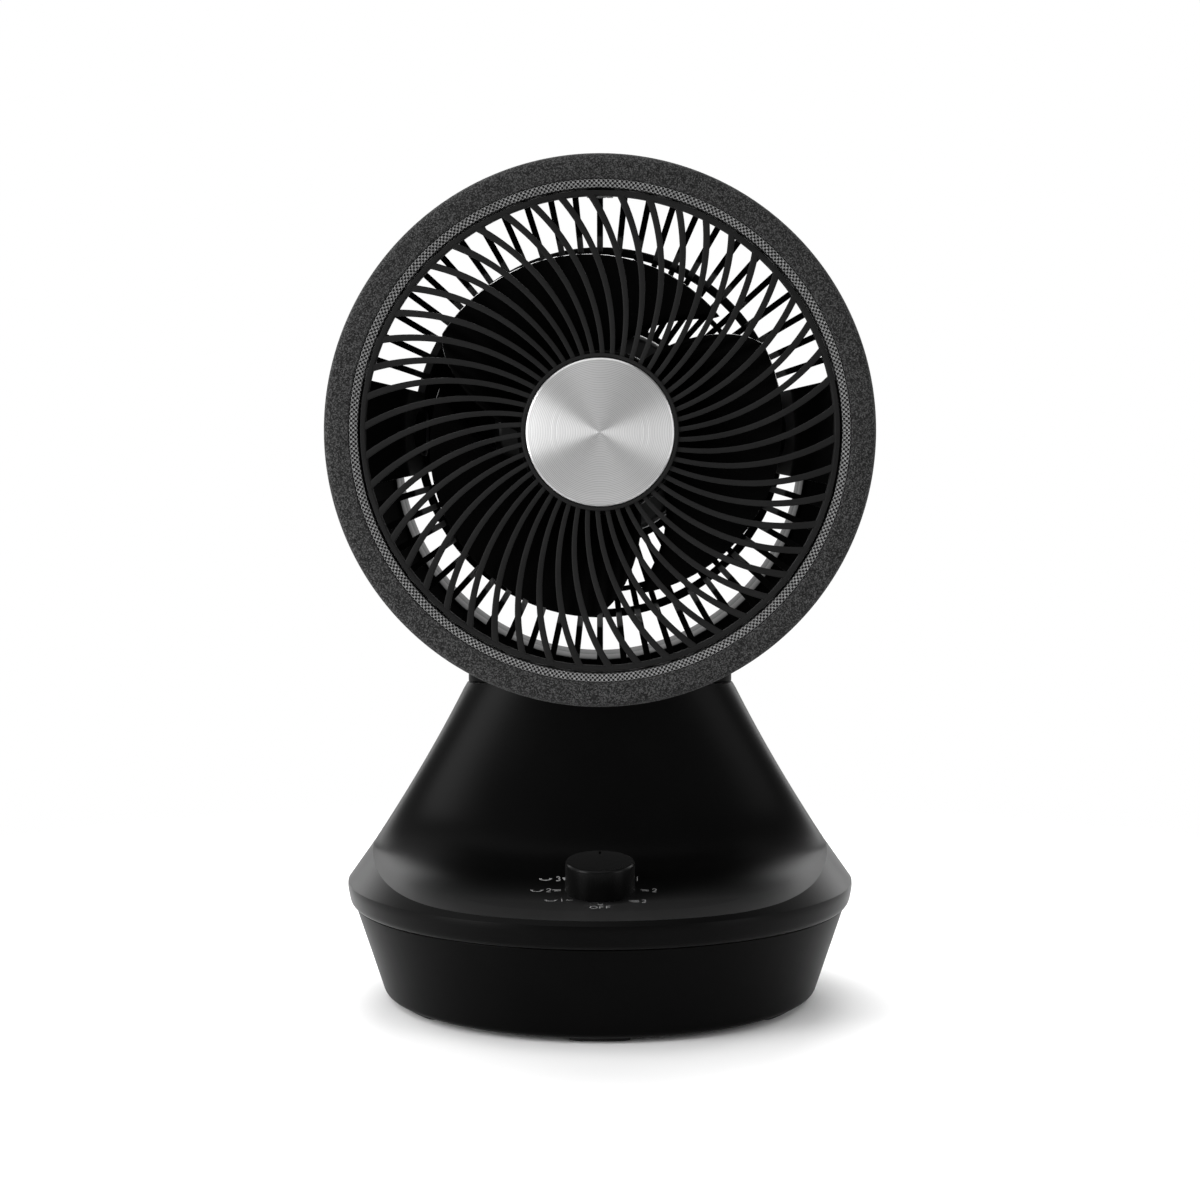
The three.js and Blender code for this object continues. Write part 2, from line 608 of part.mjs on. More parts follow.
// The knob is a plain drum, hollow above the nut, with a short pointer groove in its top.
function makeKnob() {
  const drum = solid(turned([
    [0, KNOB_LIFT],
    [KNOB_RADIUS, KNOB_LIFT],
    [KNOB_RADIUS - KNOB_EDGE / 3, KNOB_TOP - KNOB_EDGE],
    [KNOB_RADIUS - KNOB_EDGE, KNOB_TOP],
    [0, KNOB_TOP],
  ]));
  const recess = solid(ring(0, KNOB_RECESS_RADIUS, 0, NUT_TOP + JOIN, SMALL_SIDES));
  const bore = solid(ring(0, KNOB_SHAFT_RADIUS + GAP, 0, KNOB_TOP - KNOB_CAP, SMALL_SIDES));
  const pointerY = KNOB_RADIUS - POINTER_INSET - POINTER_LENGTH / 2;
  const pointer = solid(box(POINTER_WIDTH, POINTER_LENGTH, 2 * POINTER_DEPTH, 0, pointerY, KNOB_TOP));
  return part("control_knob", placeOnScoop(geometryOf(cutAll(drum, [recess, bore, pointer]))), "satin");
}

// ---------------------------------------------------------------- electrical pieces in the base

function makeBoard() {
  const middle = BOARD_HEIGHT + BOARD_THICKNESS / 2;
  const board = box(BOARD_WIDTH, BOARD_DEPTH, BOARD_THICKNESS, 0, BOARD_Y, middle);
  return part("control_board", board, "green");
}

function makeCapacitor() {
  const middle = BOARD_HEIGHT + BOARD_THICKNESS + GAP + CAPACITOR_HEIGHT / 2;
  const can = box(CAPACITOR_WIDTH, CAPACITOR_DEPTH, CAPACITOR_HEIGHT, 0, BOARD_Y, middle);
  return part("run_capacitor", can, "light");
}

// ---------------------------------------------------------------- swivel and its drive

function swingScrewPlaces() {
  return [[SWING_MOTOR_X, SWING_EAR_REACH], [SWING_MOTOR_X, -SWING_EAR_REACH]];
}

// The geared motor: a flat can with two ears and a bore for the pinion's shaft.
function makeSwingMotor() {
  const bottom = SWING_MOTOR_TOP - SWING_MOTOR_HEIGHT;
  const can = post(SWING_MOTOR_RADIUS, bottom, SWING_MOTOR_TOP, [SWING_MOTOR_X, 0], MEDIUM_SIDES);
  const earLength = 2 * (SWING_EAR_REACH + SMALL_HEAD_RADIUS);
  const ears = solid(box(2 * SMALL_HEAD_RADIUS, earLength, SWING_EAR,
    SWING_MOTOR_X, 0, SWING_MOTOR_TOP - SWING_EAR / 2));
  const shaftBottom = SWING_MOTOR_TOP - SWING_SHAFT_DEPTH;
  const bore = post(SWING_SHAFT_RADIUS + GAP, shaftBottom, SWING_MOTOR_TOP + JOIN, [PINION_X, 0]);
  const holes = swingScrewPlaces().map((place) =>
    post(SMALL_SCREW_RADIUS + GAP, bottom, SWING_MOTOR_TOP + JOIN, place));
  return part("swing_motor", geometryOf(cutAll(can.add(ears), [bore, ...holes])), "steel");
}

function makeSwingScrew(index) {
  const length = SMALL_HEAD + SWING_EAR + SCREW_BITE;
  const shape = screwShape(SMALL_SCREW_RADIUS, SMALL_HEAD_RADIUS, SMALL_HEAD, length);
  const screw = part(`swing_motor_screw_${index + 1}`, shape, "steel");
  const [x, y] = swingScrewPlaces()[index];
  screw.position.set(x, y, SWING_MOTOR_TOP - SWING_EAR - GAP - SMALL_HEAD);
  return screw;
}

// A gear outline of straight-sided teeth, a little narrower than the spaces between them.
function gearOutline(teeth, turn) {
  const radius = (GEAR_MODULE * teeth) / 2;
  const tip = radius + TOOTH_TIP * GEAR_MODULE;
  const root = radius - TOOTH_ROOT * GEAR_MODULE;
  const pitch = (2 * Math.PI) / teeth;
  const rise = [[root, -TOOTH_ROOT_HALF], [tip, -TOOTH_TIP_HALF]];
  const fall = [[tip, TOOTH_TIP_HALF], [root, TOOTH_ROOT_HALF]];
  const outline = [];
  for (let i = 0; i < teeth; i++) {
    for (const [r, share] of [...rise, ...fall]) {
      const angle = turn + (i + share) * pitch;
      outline.push([r * Math.cos(angle), r * Math.sin(angle)]);
    }
  }
  return outline;
}

function makeSpindleGear() {
  const blank = solid(flatPlate(gearOutline(GEAR_TEETH, 0), GEAR_BOTTOM, GEAR_TOP));
  const bore = solid(ring(0, SPINDLE_RADIUS + GAP, GEAR_BOTTOM - JOIN, GEAR_TOP + JOIN));
  return part("spindle_gear", geometryOf(blank.subtract(bore)), "natural");
}

// The pinion turns half a tooth so that its teeth stand in the gear's spaces.
function makePinion() {
  const halfTooth = Math.PI / PINION_TEETH;
  const wheel = solid(flatPlate(gearOutline(PINION_TEETH, Math.PI + halfTooth), GEAR_BOTTOM, GEAR_TOP));
  const shaftBottom = SWING_MOTOR_TOP - SWING_SHAFT_DEPTH + GAP;
  const shaft = post(SWING_SHAFT_RADIUS, shaftBottom, GEAR_BOTTOM + JOIN, [0, 0]);
  const pinion = part("swing_pinion", geometryOf(wheel.add(shaft)), "natural");
  pinion.position.x = PINION_X;
  return pinion;
}

function makeSwivelWasher() {
  const bottom = NECK_TOP + GAP;
  const washer = ring(SPINDLE_RADIUS + RUN, WASHER_RADIUS, bottom, bottom + WASHER_THICKNESS);
  return part("swivel_washer", washer, "natural");
}

// The spindle is a flanged tube: the flange lies on the yoke's floor and the tube hangs in the neck.
function makeSpindle() {
  const flange = YOKE_FLOOR + GAP;
  const tube = turned([
    [SPINDLE_BORE, SPINDLE_BOTTOM],
    [SPINDLE_RADIUS, SPINDLE_BOTTOM],
    [SPINDLE_RADIUS, flange],
    [SPINDLE_FLANGE_RADIUS, flange],
    [SPINDLE_FLANGE_RADIUS, flange + SPINDLE_FLANGE],
    [SPINDLE_BORE, flange + SPINDLE_FLANGE],
  ]);
  return part("swivel_spindle", tube, "steel");
}

function makeSpindleClip() {
  const top = GEAR_BOTTOM - GAP;
  const clip = ring(SPINDLE_RADIUS + GAP, SPINDLE_RADIUS + CLIP_RING, top - CLIP_THICKNESS, top);
  return part("spindle_clip", clip, "steel");
}

// ---------------------------------------------------------------- yoke

// The outside of the yoke, or its hollow when it is shrunk by the wall.
function yokeForm(wall) {
  const inner = YOKE_INNER + wall;
  const outer = YOKE_OUTER - wall;
  const bottom = YOKE_BOTTOM + wall;
  const top = HEAD_Z + YOKE_END_RADIUS;
  const block = frontPlate(yokeCurve(outer, top), YOKE_HALF_DEPTH, -YOKE_HALF_DEPTH);
  const well = frontPlate(yokeCurve(inner, top + JOIN), YOKE_HALF_DEPTH + JOIN, -YOKE_HALF_DEPTH - JOIN);
  const pedestal = new THREE.CylinderGeometry(1, 1, PEDESTAL_TOP - bottom, PEDESTAL_SIDES).rotateX(QUARTER);
  pedestal.scale(PEDESTAL_HALF_WIDTH - wall, YOKE_HALF_DEPTH - wall, 1);
  pedestal.translate(0, 0, (PEDESTAL_TOP + bottom) / 2);
  return solid(block).add(solid(pedestal)).subtract(solid(well)).intersect(yokeSide(wall, bottom));
}

// A half circle about the middle of the yoke's arc, with straight sides up to a height.
function yokeCurve(radius, top) {
  return [[radius, top], ...arc(0, YOKE_ARC_Z, radius, 0, -Math.PI, YOKE_STEPS), [-radius, top]];
}

// The yoke's side view, as a slab across its whole width: it narrows up the arms to a round end.
function yokeSide(wall, bottom) {
  const half = YOKE_HALF_DEPTH - wall;
  const roundEnd = arc(0, HEAD_Z, YOKE_END_RADIUS - wall, 0, Math.PI, YOKE_END_STEPS);
  const outline = [[half, bottom], [half, PEDESTAL_TOP], ...roundEnd, [-half, PEDESTAL_TOP], [-half, bottom]];
  const shape = new THREE.Shape(outline.map(([y, z]) => new THREE.Vector2(y, z)));
  const width = 2 * YOKE_OUTER + 2 * JOIN;
  const slab = new THREE.ExtrudeGeometry(shape, { depth: width, bevelEnabled: false });
  return solid(slab.translate(0, 0, -width / 2).rotateY(QUARTER).rotateX(QUARTER));
}

function yokeScrewPlaces() {
  const radius = (YOKE_INNER + YOKE_OUTER) / 2;
  return YOKE_SCREW_ANGLES.map((degrees) => {
    const angle = THREE.MathUtils.degToRad(degrees);
    return [radius * Math.cos(angle), YOKE_ARC_Z + radius * Math.sin(angle)];
  });
}

// One half of the hollow yoke; side is -1 for the front half and 1 for the rear half.
function makeYokeHalf(name, side) {
  const shell = yokeForm(0).subtract(yokeForm(YOKE_WALL));
  const bosses = yokeScrewPlaces().map((place) =>
    rodOnY(YOKE_BOSS_RADIUS, YOKE_HALF_DEPTH, -YOKE_HALF_DEPTH, place, SMALL_SIDES).intersect(yokeForm(0)));
  const halfSpace = solid(box(4 * YOKE_OUTER, 2 * YOKE_HALF_DEPTH, 3 * YOKE_OUTER,
    0, side * (YOKE_HALF_DEPTH + GAP / 2), YOKE_ARC_Z));
  const screwBores = yokeScrewPlaces().flatMap((place) => [
    rodOnY(SCREW_RADIUS + GAP, YOKE_HALF_DEPTH + JOIN, -YOKE_SCREW_BITE - JOIN, place),
    rodOnY(SCREW_HEAD_RADIUS + GAP, YOKE_HALF_DEPTH + JOIN, YOKE_HEAD_SEAT, place),
  ]);
  const spindleHole = solid(ring(0, SPINDLE_RADIUS + GAP, YOKE_BOTTOM - JOIN, YOKE_FLOOR + JOIN));
  const pivotHoles = [-1, 1].map((hand) =>
    solid(rodOnX(BUSH_RADIUS + GAP, hand * (YOKE_INNER - JOIN), hand * (YOKE_INNER + YOKE_WALL + JOIN))
      .translate(0, 0, HEAD_Z)));
  const whole = addAll(shell, bosses);
  const half = cutAll(whole, [...screwBores, spindleHole, ...pivotHoles]).intersect(halfSpace);
  return part(name, geometryOf(half), "satin");
}

function makeYokeScrew(index) {
  const length = SCREW_HEAD + YOKE_HEAD_SEAT + YOKE_SCREW_BITE;
  const shape = screwShape(SCREW_RADIUS, SCREW_HEAD_RADIUS, SCREW_HEAD, length);
  const screw = part(`yoke_screw_${index + 1}`, shape.rotateX(QUARTER), "steel");
  const [x, z] = yokeScrewPlaces()[index];
  screw.position.set(x, YOKE_HEAD_SEAT + GAP + SCREW_HEAD, z);
  return screw;
}

// ---------------------------------------------------------------- tilt pivots

// A flanged bush in the arm's inner wall; hand is -1 on the left and 1 on the right.
function makeTiltBush(hand) {
  const flange = YOKE_INNER + YOKE_WALL + GAP;
  const bush = turned([
    [PIN_RADIUS + GAP, YOKE_INNER],
    [BUSH_RADIUS, YOKE_INNER],
    [BUSH_RADIUS, flange],
    [BUSH_FLANGE_RADIUS, flange],
    [BUSH_FLANGE_RADIUS, BUSH_END_X],
    [PIN_RADIUS + GAP, BUSH_END_X],
  ], SMALL_SIDES);
  return placePivot(`tilt_bush_${hand < 0 ? "left" : "right"}`, bush, hand, "natural");
}

// Lays a piece made about the vertical axis along the tilt axis, pointing outward.
function placePivot(name, geometry, hand, finish) {
  return part(name, geometry.rotateY(hand * QUARTER), finish);
}

function makeTiltPin(hand) {
  const pin = ring(0, PIN_RADIUS, PIN_INNER_X, TILT_NUT_X + TILT_NUT + GAP, SMALL_SIDES);
  return placePivot(`tilt_pin_${hand < 0 ? "left" : "right"}`, pin, hand, "steel");
}

function makeTiltNut(hand) {
  const outer = TILT_NUT_X + TILT_NUT;
  const hexagon = solid(ring(0, TILT_NUT_RADIUS, TILT_NUT_X, outer, SCREW_SIDES));
  const bore = solid(ring(0, PIN_RADIUS + GAP, TILT_NUT_X - JOIN, outer + JOIN, SMALL_SIDES));
  const name = `tilt_nut_${hand < 0 ? "left" : "right"}`;
  return placePivot(name, geometryOf(hexagon.subtract(bore)), hand, "steel");
}

// ---------------------------------------------------------------- head: ring

// The fabric skin wraps the front and the outside of the carrier.
function makeFabricRing() {
  const front = -HEAD_FRONT;
  const back = -HEAD_BACK - 2 * GAP;
  const outer = [
    [FABRIC_INNER, front + FABRIC_EDGE],
    [FABRIC_INNER + FABRIC_EDGE, front],
    ...arc(RING_RADIUS - FABRIC_CORNER, front + FABRIC_CORNER, FABRIC_CORNER, -QUARTER, 0, 2),
    [RING_RADIUS, back - FABRIC_CORNER / 2],
    [RING_RADIUS - FABRIC_CORNER / 2, back],
  ];
  const inner = [
    [RING_RADIUS - FABRIC - 2 * GAP, back],
    [RING_RADIUS - FABRIC, front + FABRIC_CORNER],
    [RING_RADIUS - FABRIC_CORNER, front + FABRIC],
    [FABRIC_INNER, front + FABRIC],
  ];
  return part("fabric_ring", turnedOnY([...outer, ...inner], RING_SIDES), "fabric");
}

// The carrier is a channel, open to the rear, that the fabric is stretched over.
function makeRingFrame() {
  const front = -HEAD_FRONT + FABRIC + GAP;
  const back = -HEAD_BACK - REAR_RIM_THICKNESS - GAP;
  const outer = RING_RADIUS - FABRIC - 3 * GAP;
  const inner = TRIM_INNER;
  return part("ring_frame", turnedOnY([
    [inner, back],
    [inner, front],
    [outer - FABRIC_CORNER / 2, front],
    [outer, front + FABRIC_CORNER / 2],
    [outer, back],
    [outer - CARRIER_WALL, back],
    [outer - CARRIER_WALL, front + CARRIER_WALL],
    [inner + CARRIER_WALL, front + CARRIER_WALL],
    [inner + CARRIER_WALL, back],
  ], RING_SIDES), "matt");
}

// The coarse woven band that closes the fabric's inner edge; it slopes in toward the grille.
function makeTrimBand() {
  const back = -HEAD_FRONT + FABRIC;
  return part("trim_band", turnedOnY([
    [TRIM_INNER, back],
    [TRIM_INNER, back - TRIM_DEPTH / 3],
    [FABRIC_INNER - GAP, back - TRIM_DEPTH],
    [FABRIC_INNER - GAP, back],
  ], RING_SIDES), "weave");
}

// ---------------------------------------------------------------- head: front grille

// Polar angle, measured from the hub end, of a rib's centre line at a radius.
function ribAngle(radius) {
  const offset = RIB_ARC_CENTRE ** 2 - RIB_ARC_RADIUS ** 2;
  const bend = (r) => Math.acos((r ** 2 + offset) / (2 * r * RIB_ARC_CENTRE));
  return bend(BADGE_RADIUS) - bend(radius);
}

// How far a rib leans from the radial direction at a radius.
function ribLean(radius) {
  const offset = RIB_ARC_CENTRE ** 2 - RIB_ARC_RADIUS ** 2;
  return Math.asin((radius ** 2 - offset) / (2 * radius * RIB_ARC_RADIUS));
}

// One curved rib, in front view: an even strip about an arc from the hub cup to the rim.
function ribOutline(turn) {
  const from = BADGE_RADIUS + GAP + CUP_WALL / 2;
  const to = GRILLE_RADIUS - GRILLE_RIM / 2;
  const left = [];
  const right = [];
  for (let i = 0; i <= RIB_STEPS; i++) {
    const radius = from + ((to - from) * i) / RIB_STEPS;
    const angle = turn + ribAngle(radius);
    const across = angle + ribLean(radius) + QUARTER;
    const x = radius * Math.cos(angle);
    const z = radius * Math.sin(angle);
    const acrossX = (RIB_WIDTH / 2) * Math.cos(across);
    const acrossZ = (RIB_WIDTH / 2) * Math.sin(across);
    left.push([x + acrossX, z + acrossZ]);
    right.push([x - acrossX, z - acrossZ]);
  }
  return [...right, ...left.toReversed()];
}

// The grille is one moulding: the rim with its skirt, the curved ribs and the cup for the badge.
function makeFrontGrille() {
  const front = -GRILLE_FRONT;
  const rim = solid(turnedOnY([
    [GRILLE_RADIUS - GRILLE_RIM, front + RIB_DEPTH],
    [GRILLE_RADIUS - GRILLE_RIM, front],
    [GRILLE_RADIUS, front],
    [GRILLE_RADIUS, front + GRILLE_SKIRT],
    [GRILLE_RADIUS - GRILLE_RIM / 2, front + GRILLE_SKIRT],
    [GRILLE_RADIUS - GRILLE_RIM / 2, front + RIB_DEPTH],
  ], GRILLE_RIBS));
  const cupRadius = BADGE_RADIUS + GAP + CUP_WALL;
  const cup = solid(turnedOnY([
    [0, front + RIB_DEPTH],
    [cupRadius, front + RIB_DEPTH],
    [cupRadius, front - CUP_RAISE],
    [cupRadius - CUP_WALL, front - CUP_RAISE],
    [cupRadius - CUP_WALL, -CUP_FLOOR],
    [0, -CUP_FLOOR],
  ], GRILLE_RIBS));
  const ribs = Array.from({ length: GRILLE_RIBS }, (_, i) => {
    const turn = RIB_START_ANGLE + (i * 2 * Math.PI) / GRILLE_RIBS;
    return solid(frontPlate(ribOutline(turn), front + RIB_DEPTH - GAP / 2, front + GAP / 2));
  });
  return part("front_grille", geometryOf(addAll(rim, [cup, ...ribs])), "satin");
}

// The spun aluminium disc in the cup.
function makeBadge() {
  const front = -HEAD_FRONT + BADGE_INSET;
  const back = -CUP_FLOOR - GAP;
  return part("badge", turnedOnY([
    [0, back],
    [BADGE_RADIUS, back],
    [BADGE_RADIUS, front + BADGE_BEVEL],
    [BADGE_RADIUS - BADGE_BEVEL, front],
    [0, front],
  ], RING_SIDES), "aluminium");
}

// The small light clip at the top, behind the grille's skirt and under the carrier.
function makeGrilleClip() {
  const middleY = -GRILLE_FRONT + GRILLE_SKIRT + GAP + CLIP_LENGTH / 2;
  const middleZ = TRIM_INNER - 2 * GAP - CLIP_PLATE / 2;
  return part("grille_clip", box(CLIP_WIDTH, CLIP_LENGTH, CLIP_PLATE, 0, middleY, middleZ), "light");
}

// ---------------------------------------------------------------- head: rear grille and motor

// The bowl's outside profile from the rim to the hub plate, as [radius, y].
const bowlProfile = [
  [BOWL_MOUTH, -HEAD_BACK + GAP],
  [YOKE_INNER - BOWL_CLEARANCE, -BOWL_SHOULDER],
  [BOWL_WAIST_RADIUS, BOWL_WAIST],
  [HUB_PLATE_RADIUS - JOIN, BOWL_BACK],
];

function bowlInside() {
  return bowlProfile.map(([radius, y], i) => {
    const [r0, y0] = bowlProfile[Math.max(i - 1, 0)];
    const [r1, y1] = bowlProfile[Math.min(i + 1, bowlProfile.length - 1)];
    const length = Math.hypot(r1 - r0, y1 - y0);
    return [radius - (REAR_SHELL * (y1 - y0)) / length, y + (REAR_SHELL * (r1 - r0)) / length];
  });
}

// A point along the bowl's profile, from 0 at the rim to 1 at the hub.
function bowlPoint(share) {
  const curve = new THREE.CurvePath();
  bowlProfile.slice(1).forEach((point, i) => {
    curve.add(new THREE.LineCurve(new THREE.Vector2(...bowlProfile[i]), new THREE.Vector2(...point)));
  });
  return curve.getPoint(share);
}

// One rear rib: the bowl's section as a thin plate, at an angle about the fan's axis.
function rearRib(angle) {
  const outline = [...bowlProfile, ...bowlInside().toReversed()];
  const shape = new THREE.Shape(outline.map(([r, y]) => new THREE.Vector2(r, y)));
  const plate = new THREE.ExtrudeGeometry(shape, { depth: REAR_RIB_WIDTH, bevelEnabled: false });
  return solid(plate.translate(0, 0, -REAR_RIB_WIDTH / 2).rotateY(-angle));
}

// The solid panel round a pivot: the bowl's shell cut to a wedge.
function pivotPanel(hand) {
  const shell = solid(turnedOnY([...bowlProfile, ...bowlInside().toReversed()], REAR_RIBS));
  const reach = hand * RING_RADIUS;
  const rise = reach * Math.tan(PANEL_HALF_ANGLE);
  const wedge = [[hand * JOIN, 0], [reach, -rise], [reach, rise]];
  return shell.intersect(solid(frontPlate(wedge, RING_RADIUS, -RING_RADIUS)));
}

function makeRearGrille() {
  const rimFront = -HEAD_BACK - REAR_RIM_THICKNESS;
  const rim = solid(ringOnY(BOWL_MOUTH - REAR_SHELL, REAR_RIM, -HEAD_BACK, rimFront, REAR_RIBS));
  const plate = solid(ringOnY(0, HUB_PLATE_RADIUS, BOWL_BACK, HUB_PLATE_FRONT, REAR_RIBS));
  const panels = [-1, 1].map(pivotPanel);
  const { x: hoopRadius, y: hoopY } = bowlPoint(HOOP_STATION);
  const hoopOuter = hoopRadius - GAP;
  const hoop = solid(ringOnY(hoopOuter - HOOP_WIDTH, hoopOuter, hoopY, hoopY - HOOP_DEPTH, REAR_RIBS));
  const ribs = [];
  for (let i = 0; i < REAR_RIBS; i++) {
    const angle = (i * 2 * Math.PI) / REAR_RIBS;
    const fromPivot = Math.abs(Math.asin(Math.sin(angle)));
    if (fromPivot > PANEL_HALF_ANGLE) ribs.push(rearRib(angle));
  }
  const bosses = [-1, 1].map((hand) =>
    solid(rodOnX(PIVOT_BOSS_RADIUS, hand * (PIN_INNER_X - PIN_CAP), hand * (YOKE_INNER - 3 * GAP))));
  const pinHoles = [-1, 1].map((hand) =>
    solid(rodOnX(PIN_RADIUS + GAP, hand * (PIN_INNER_X - GAP), hand * YOKE_INNER)));
  const screwHoles = motorScrewPlaces().map((place) =>
    rodOnY(SMALL_SCREW_RADIUS + GAP, BOWL_BACK + JOIN, HUB_PLATE_FRONT - JOIN, place));
  const joined = addAll(rim, [plate, ...panels, hoop, ...ribs, ...bosses]);
  return part("rear_grille", geometryOf(cutAll(joined, [...pinHoles, ...screwHoles])), "satin");
}

function motorScrewPlaces() {
  return arc(0, 0, MOTOR_SCREW_CIRCLE, QUARTER / 2, 3.5 * QUARTER, 3);
}

// The housing is a cup over the motor, closed to the front, with a hole for the shaft.
function makeMotorHousing() {
  const back = HUB_PLATE_FRONT - GAP;
  const front = -HOUSING_FRONT;
  const corner = HOUSING_CORNER;
  const inner = HOUSING_RADIUS - HOUSING_WALL;
  return part("motor_housing", turnedOnY([
    [HOUSING_RADIUS, back],
    [HOUSING_RADIUS, front + corner],
    [HOUSING_RADIUS - corner, front],
    [MOTOR_SHAFT_RADIUS + 2 * RUN, front],
    [MOTOR_SHAFT_RADIUS + 2 * RUN, front + HOUSING_WALL],
    [inner - corner, front + HOUSING_WALL],
    [inner, front + HOUSING_WALL + corner],
    [inner, back],
  ]), "matt");
}

// The motor is a round can against the hub plate, bored for its shaft and its screws.
function makeFanMotor() {
  const back = HUB_PLATE_FRONT - GAP;
  const front = back - MOTOR_LENGTH;
  const can = solid(turnedOnY([
    [0, back],
    [MOTOR_RADIUS, back],
    [MOTOR_RADIUS, front + MOTOR_CHAMFER],
    [MOTOR_RADIUS - MOTOR_CHAMFER, front],
    [0, front],
  ]));
  const bore = solid(ringOnY(0, MOTOR_SHAFT_RADIUS + GAP, back - SCREW_BITE, front - JOIN, SMALL_SIDES));
  const holes = motorScrewPlaces().map((place) =>
    rodOnY(SMALL_SCREW_RADIUS + GAP, back + JOIN, back - SCREW_BITE, place));
  return part("fan_motor", geometryOf(cutAll(can, [bore, ...holes])), "steel");
}

function makeMotorScrew(index) {
  const length = SMALL_HEAD + HUB_PLATE + SCREW_BITE;
  const shape = screwShape(SMALL_SCREW_RADIUS, SMALL_HEAD_RADIUS, SMALL_HEAD, length);
  const screw = part(`motor_screw_${index + 1}`, shape.rotateX(QUARTER), "steel");
  const [x, z] = motorScrewPlaces()[index];
  screw.position.set(x, BOWL_BACK + GAP + SMALL_HEAD, z);
  return screw;
}

// ---------------------------------------------------------------- impeller

// One blade: a box bent into a broad twisted paddle, its leading edge to the rear.
function bladeGeometry(start) {
  const blade = new THREE.BoxGeometry(1, 1, 1, 3, 1, 6);
  const place = blade.attributes.position;
  for (let i = 0; i < place.count; i++) {
    const outward = place.getX(i) + 0.5;
    const along = place.getZ(i) + 0.5;
    const lead = BLADE_LEAD_SHARE + (1 - BLADE_LEAD_SHARE) * Math.sin(along * QUARTER);
    const root = IMPELLER_HUB - HUB_WALL;
    const radius = root + outward * (IMPELLER_RADIUS * lead - root);
    const drag = BLADE_DRAG * outward;
    const span = BLADE_SPAN * (BLADE_ROOT_SHARE + (1 - BLADE_ROOT_SHARE) * outward);
    const angle = start - drag + along * span;
    const middle = -IMPELLER_FRONT + HUB_DEPTH / 2;
    const pitch = BLADE_PITCH * (0.5 - along) + BLADE_BELLY * Math.sin(along * Math.PI);
    const y = middle + pitch + place.getY(i) * BLADE_THICKNESS;
    place.setXYZ(i, radius * Math.cos(angle), y, radius * Math.sin(angle));
  }
  return blade;
}

function makeImpeller() {
  const front = -IMPELLER_FRONT;
  const hub = solid(turnedOnY([
    [MOTOR_SHAFT_RADIUS + GAP, front],
    [IMPELLER_HUB - HUB_CORNER, front],
    [IMPELLER_HUB, front + HUB_CORNER],
    [IMPELLER_HUB, front + HUB_DEPTH],
    [IMPELLER_HUB - HUB_WALL, front + HUB_DEPTH],
    [IMPELLER_HUB - HUB_WALL, front + HUB_CORNER + JOIN],
    [IMPELLER_HUB - HUB_CORNER - JOIN, front + HUB_WALL],
    [MOTOR_SHAFT_RADIUS + HUB_SLEEVE, front + HUB_WALL],
    [MOTOR_SHAFT_RADIUS + HUB_SLEEVE, front + HUB_DEPTH],
    [MOTOR_SHAFT_RADIUS + GAP, front + HUB_DEPTH],
  ]));
  const blades = Array.from({ length: IMPELLER_BLADES }, (_, i) => {
    const turn = BLADE_START + (i * 2 * Math.PI) / IMPELLER_BLADES;
    return solid(bladeGeometry(turn));
  });
  return part("impeller", geometryOf(addAll(hub, blades)), "gloss");
}

function makeMotorShaft() {
  const back = HUB_PLATE_FRONT - 2 * GAP - SCREW_BITE;
  const front = -IMPELLER_FRONT - NUT_HEIGHT + GAP;
  return part("motor_shaft", ringOnY(0, MOTOR_SHAFT_RADIUS, back, front, SMALL_SIDES), "steel");
}

function makeImpellerNut() {
  const back = -IMPELLER_FRONT - GAP;
  return part("impeller_nut", turnedOnY([
    [MOTOR_SHAFT_RADIUS + GAP, back],
    [NUT_RADIUS, back],
    [NUT_RADIUS, back - NUT_HEIGHT + NUT_CHAMFER],
    [NUT_RADIUS - NUT_CHAMFER, back - NUT_HEIGHT],
    [MOTOR_SHAFT_RADIUS + GAP, back - NUT_HEIGHT],
  ], SMALL_SIDES), "matt");
}

// ---------------------------------------------------------------- assembly

const base = new THREE.Group();
base.add(makeTub(), makeInlet(), makeTopCover(), makeBoard(), makeCapacitor());
for (let i = 0; i < FOOT_COUNT; i++) base.add(makeFoot(i));
postPlaces.forEach((_, i) => base.add(makeBaseScrew(i)));
base.add(makeSwitchBody(), makeSwitchNut(), makeKnobShaft(), makeKnob());
base.add(makeSwingMotor(), makeSwingScrew(0), makeSwingScrew(1), makePinion(), makeSwivelWasher());

const yoke = new THREE.Group();
yoke.add(makeSpindle(), makeSpindleGear(), makeSpindleClip());
yoke.add(makeYokeHalf("yoke_front", -1), makeYokeHalf("yoke_rear", 1));
YOKE_SCREW_ANGLES.forEach((_, i) => yoke.add(makeYokeScrew(i)));

const pivots = new THREE.Group();
pivots.position.z = HEAD_Z;
for (const hand of [-1, 1]) pivots.add(makeTiltBush(hand), makeTiltPin(hand), makeTiltNut(hand));

const head = new THREE.Group();
head.position.z = HEAD_Z;
head.add(makeFabricRing(), makeRingFrame(), makeTrimBand(), makeFrontGrille(), makeBadge(), makeGrilleClip());
head.add(makeRearGrille(), makeMotorHousing(), makeFanMotor());
motorScrewPlaces().forEach((_, i) => head.add(makeMotorScrew(i)));
head.add(makeImpeller(), makeMotorShaft(), makeImpellerNut());

const fan = new THREE.Group();
fan.add(base, yoke, pivots, head);

export default fan;
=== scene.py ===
"""Table-top air circulator fan with a fabric-covered ring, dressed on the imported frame.

Lengths are in millimetres and go through MM, except where a comment says otherwise. The front
faces -Y, +Z is up, and the head's pieces lie about the tilt axis.
"""

import math

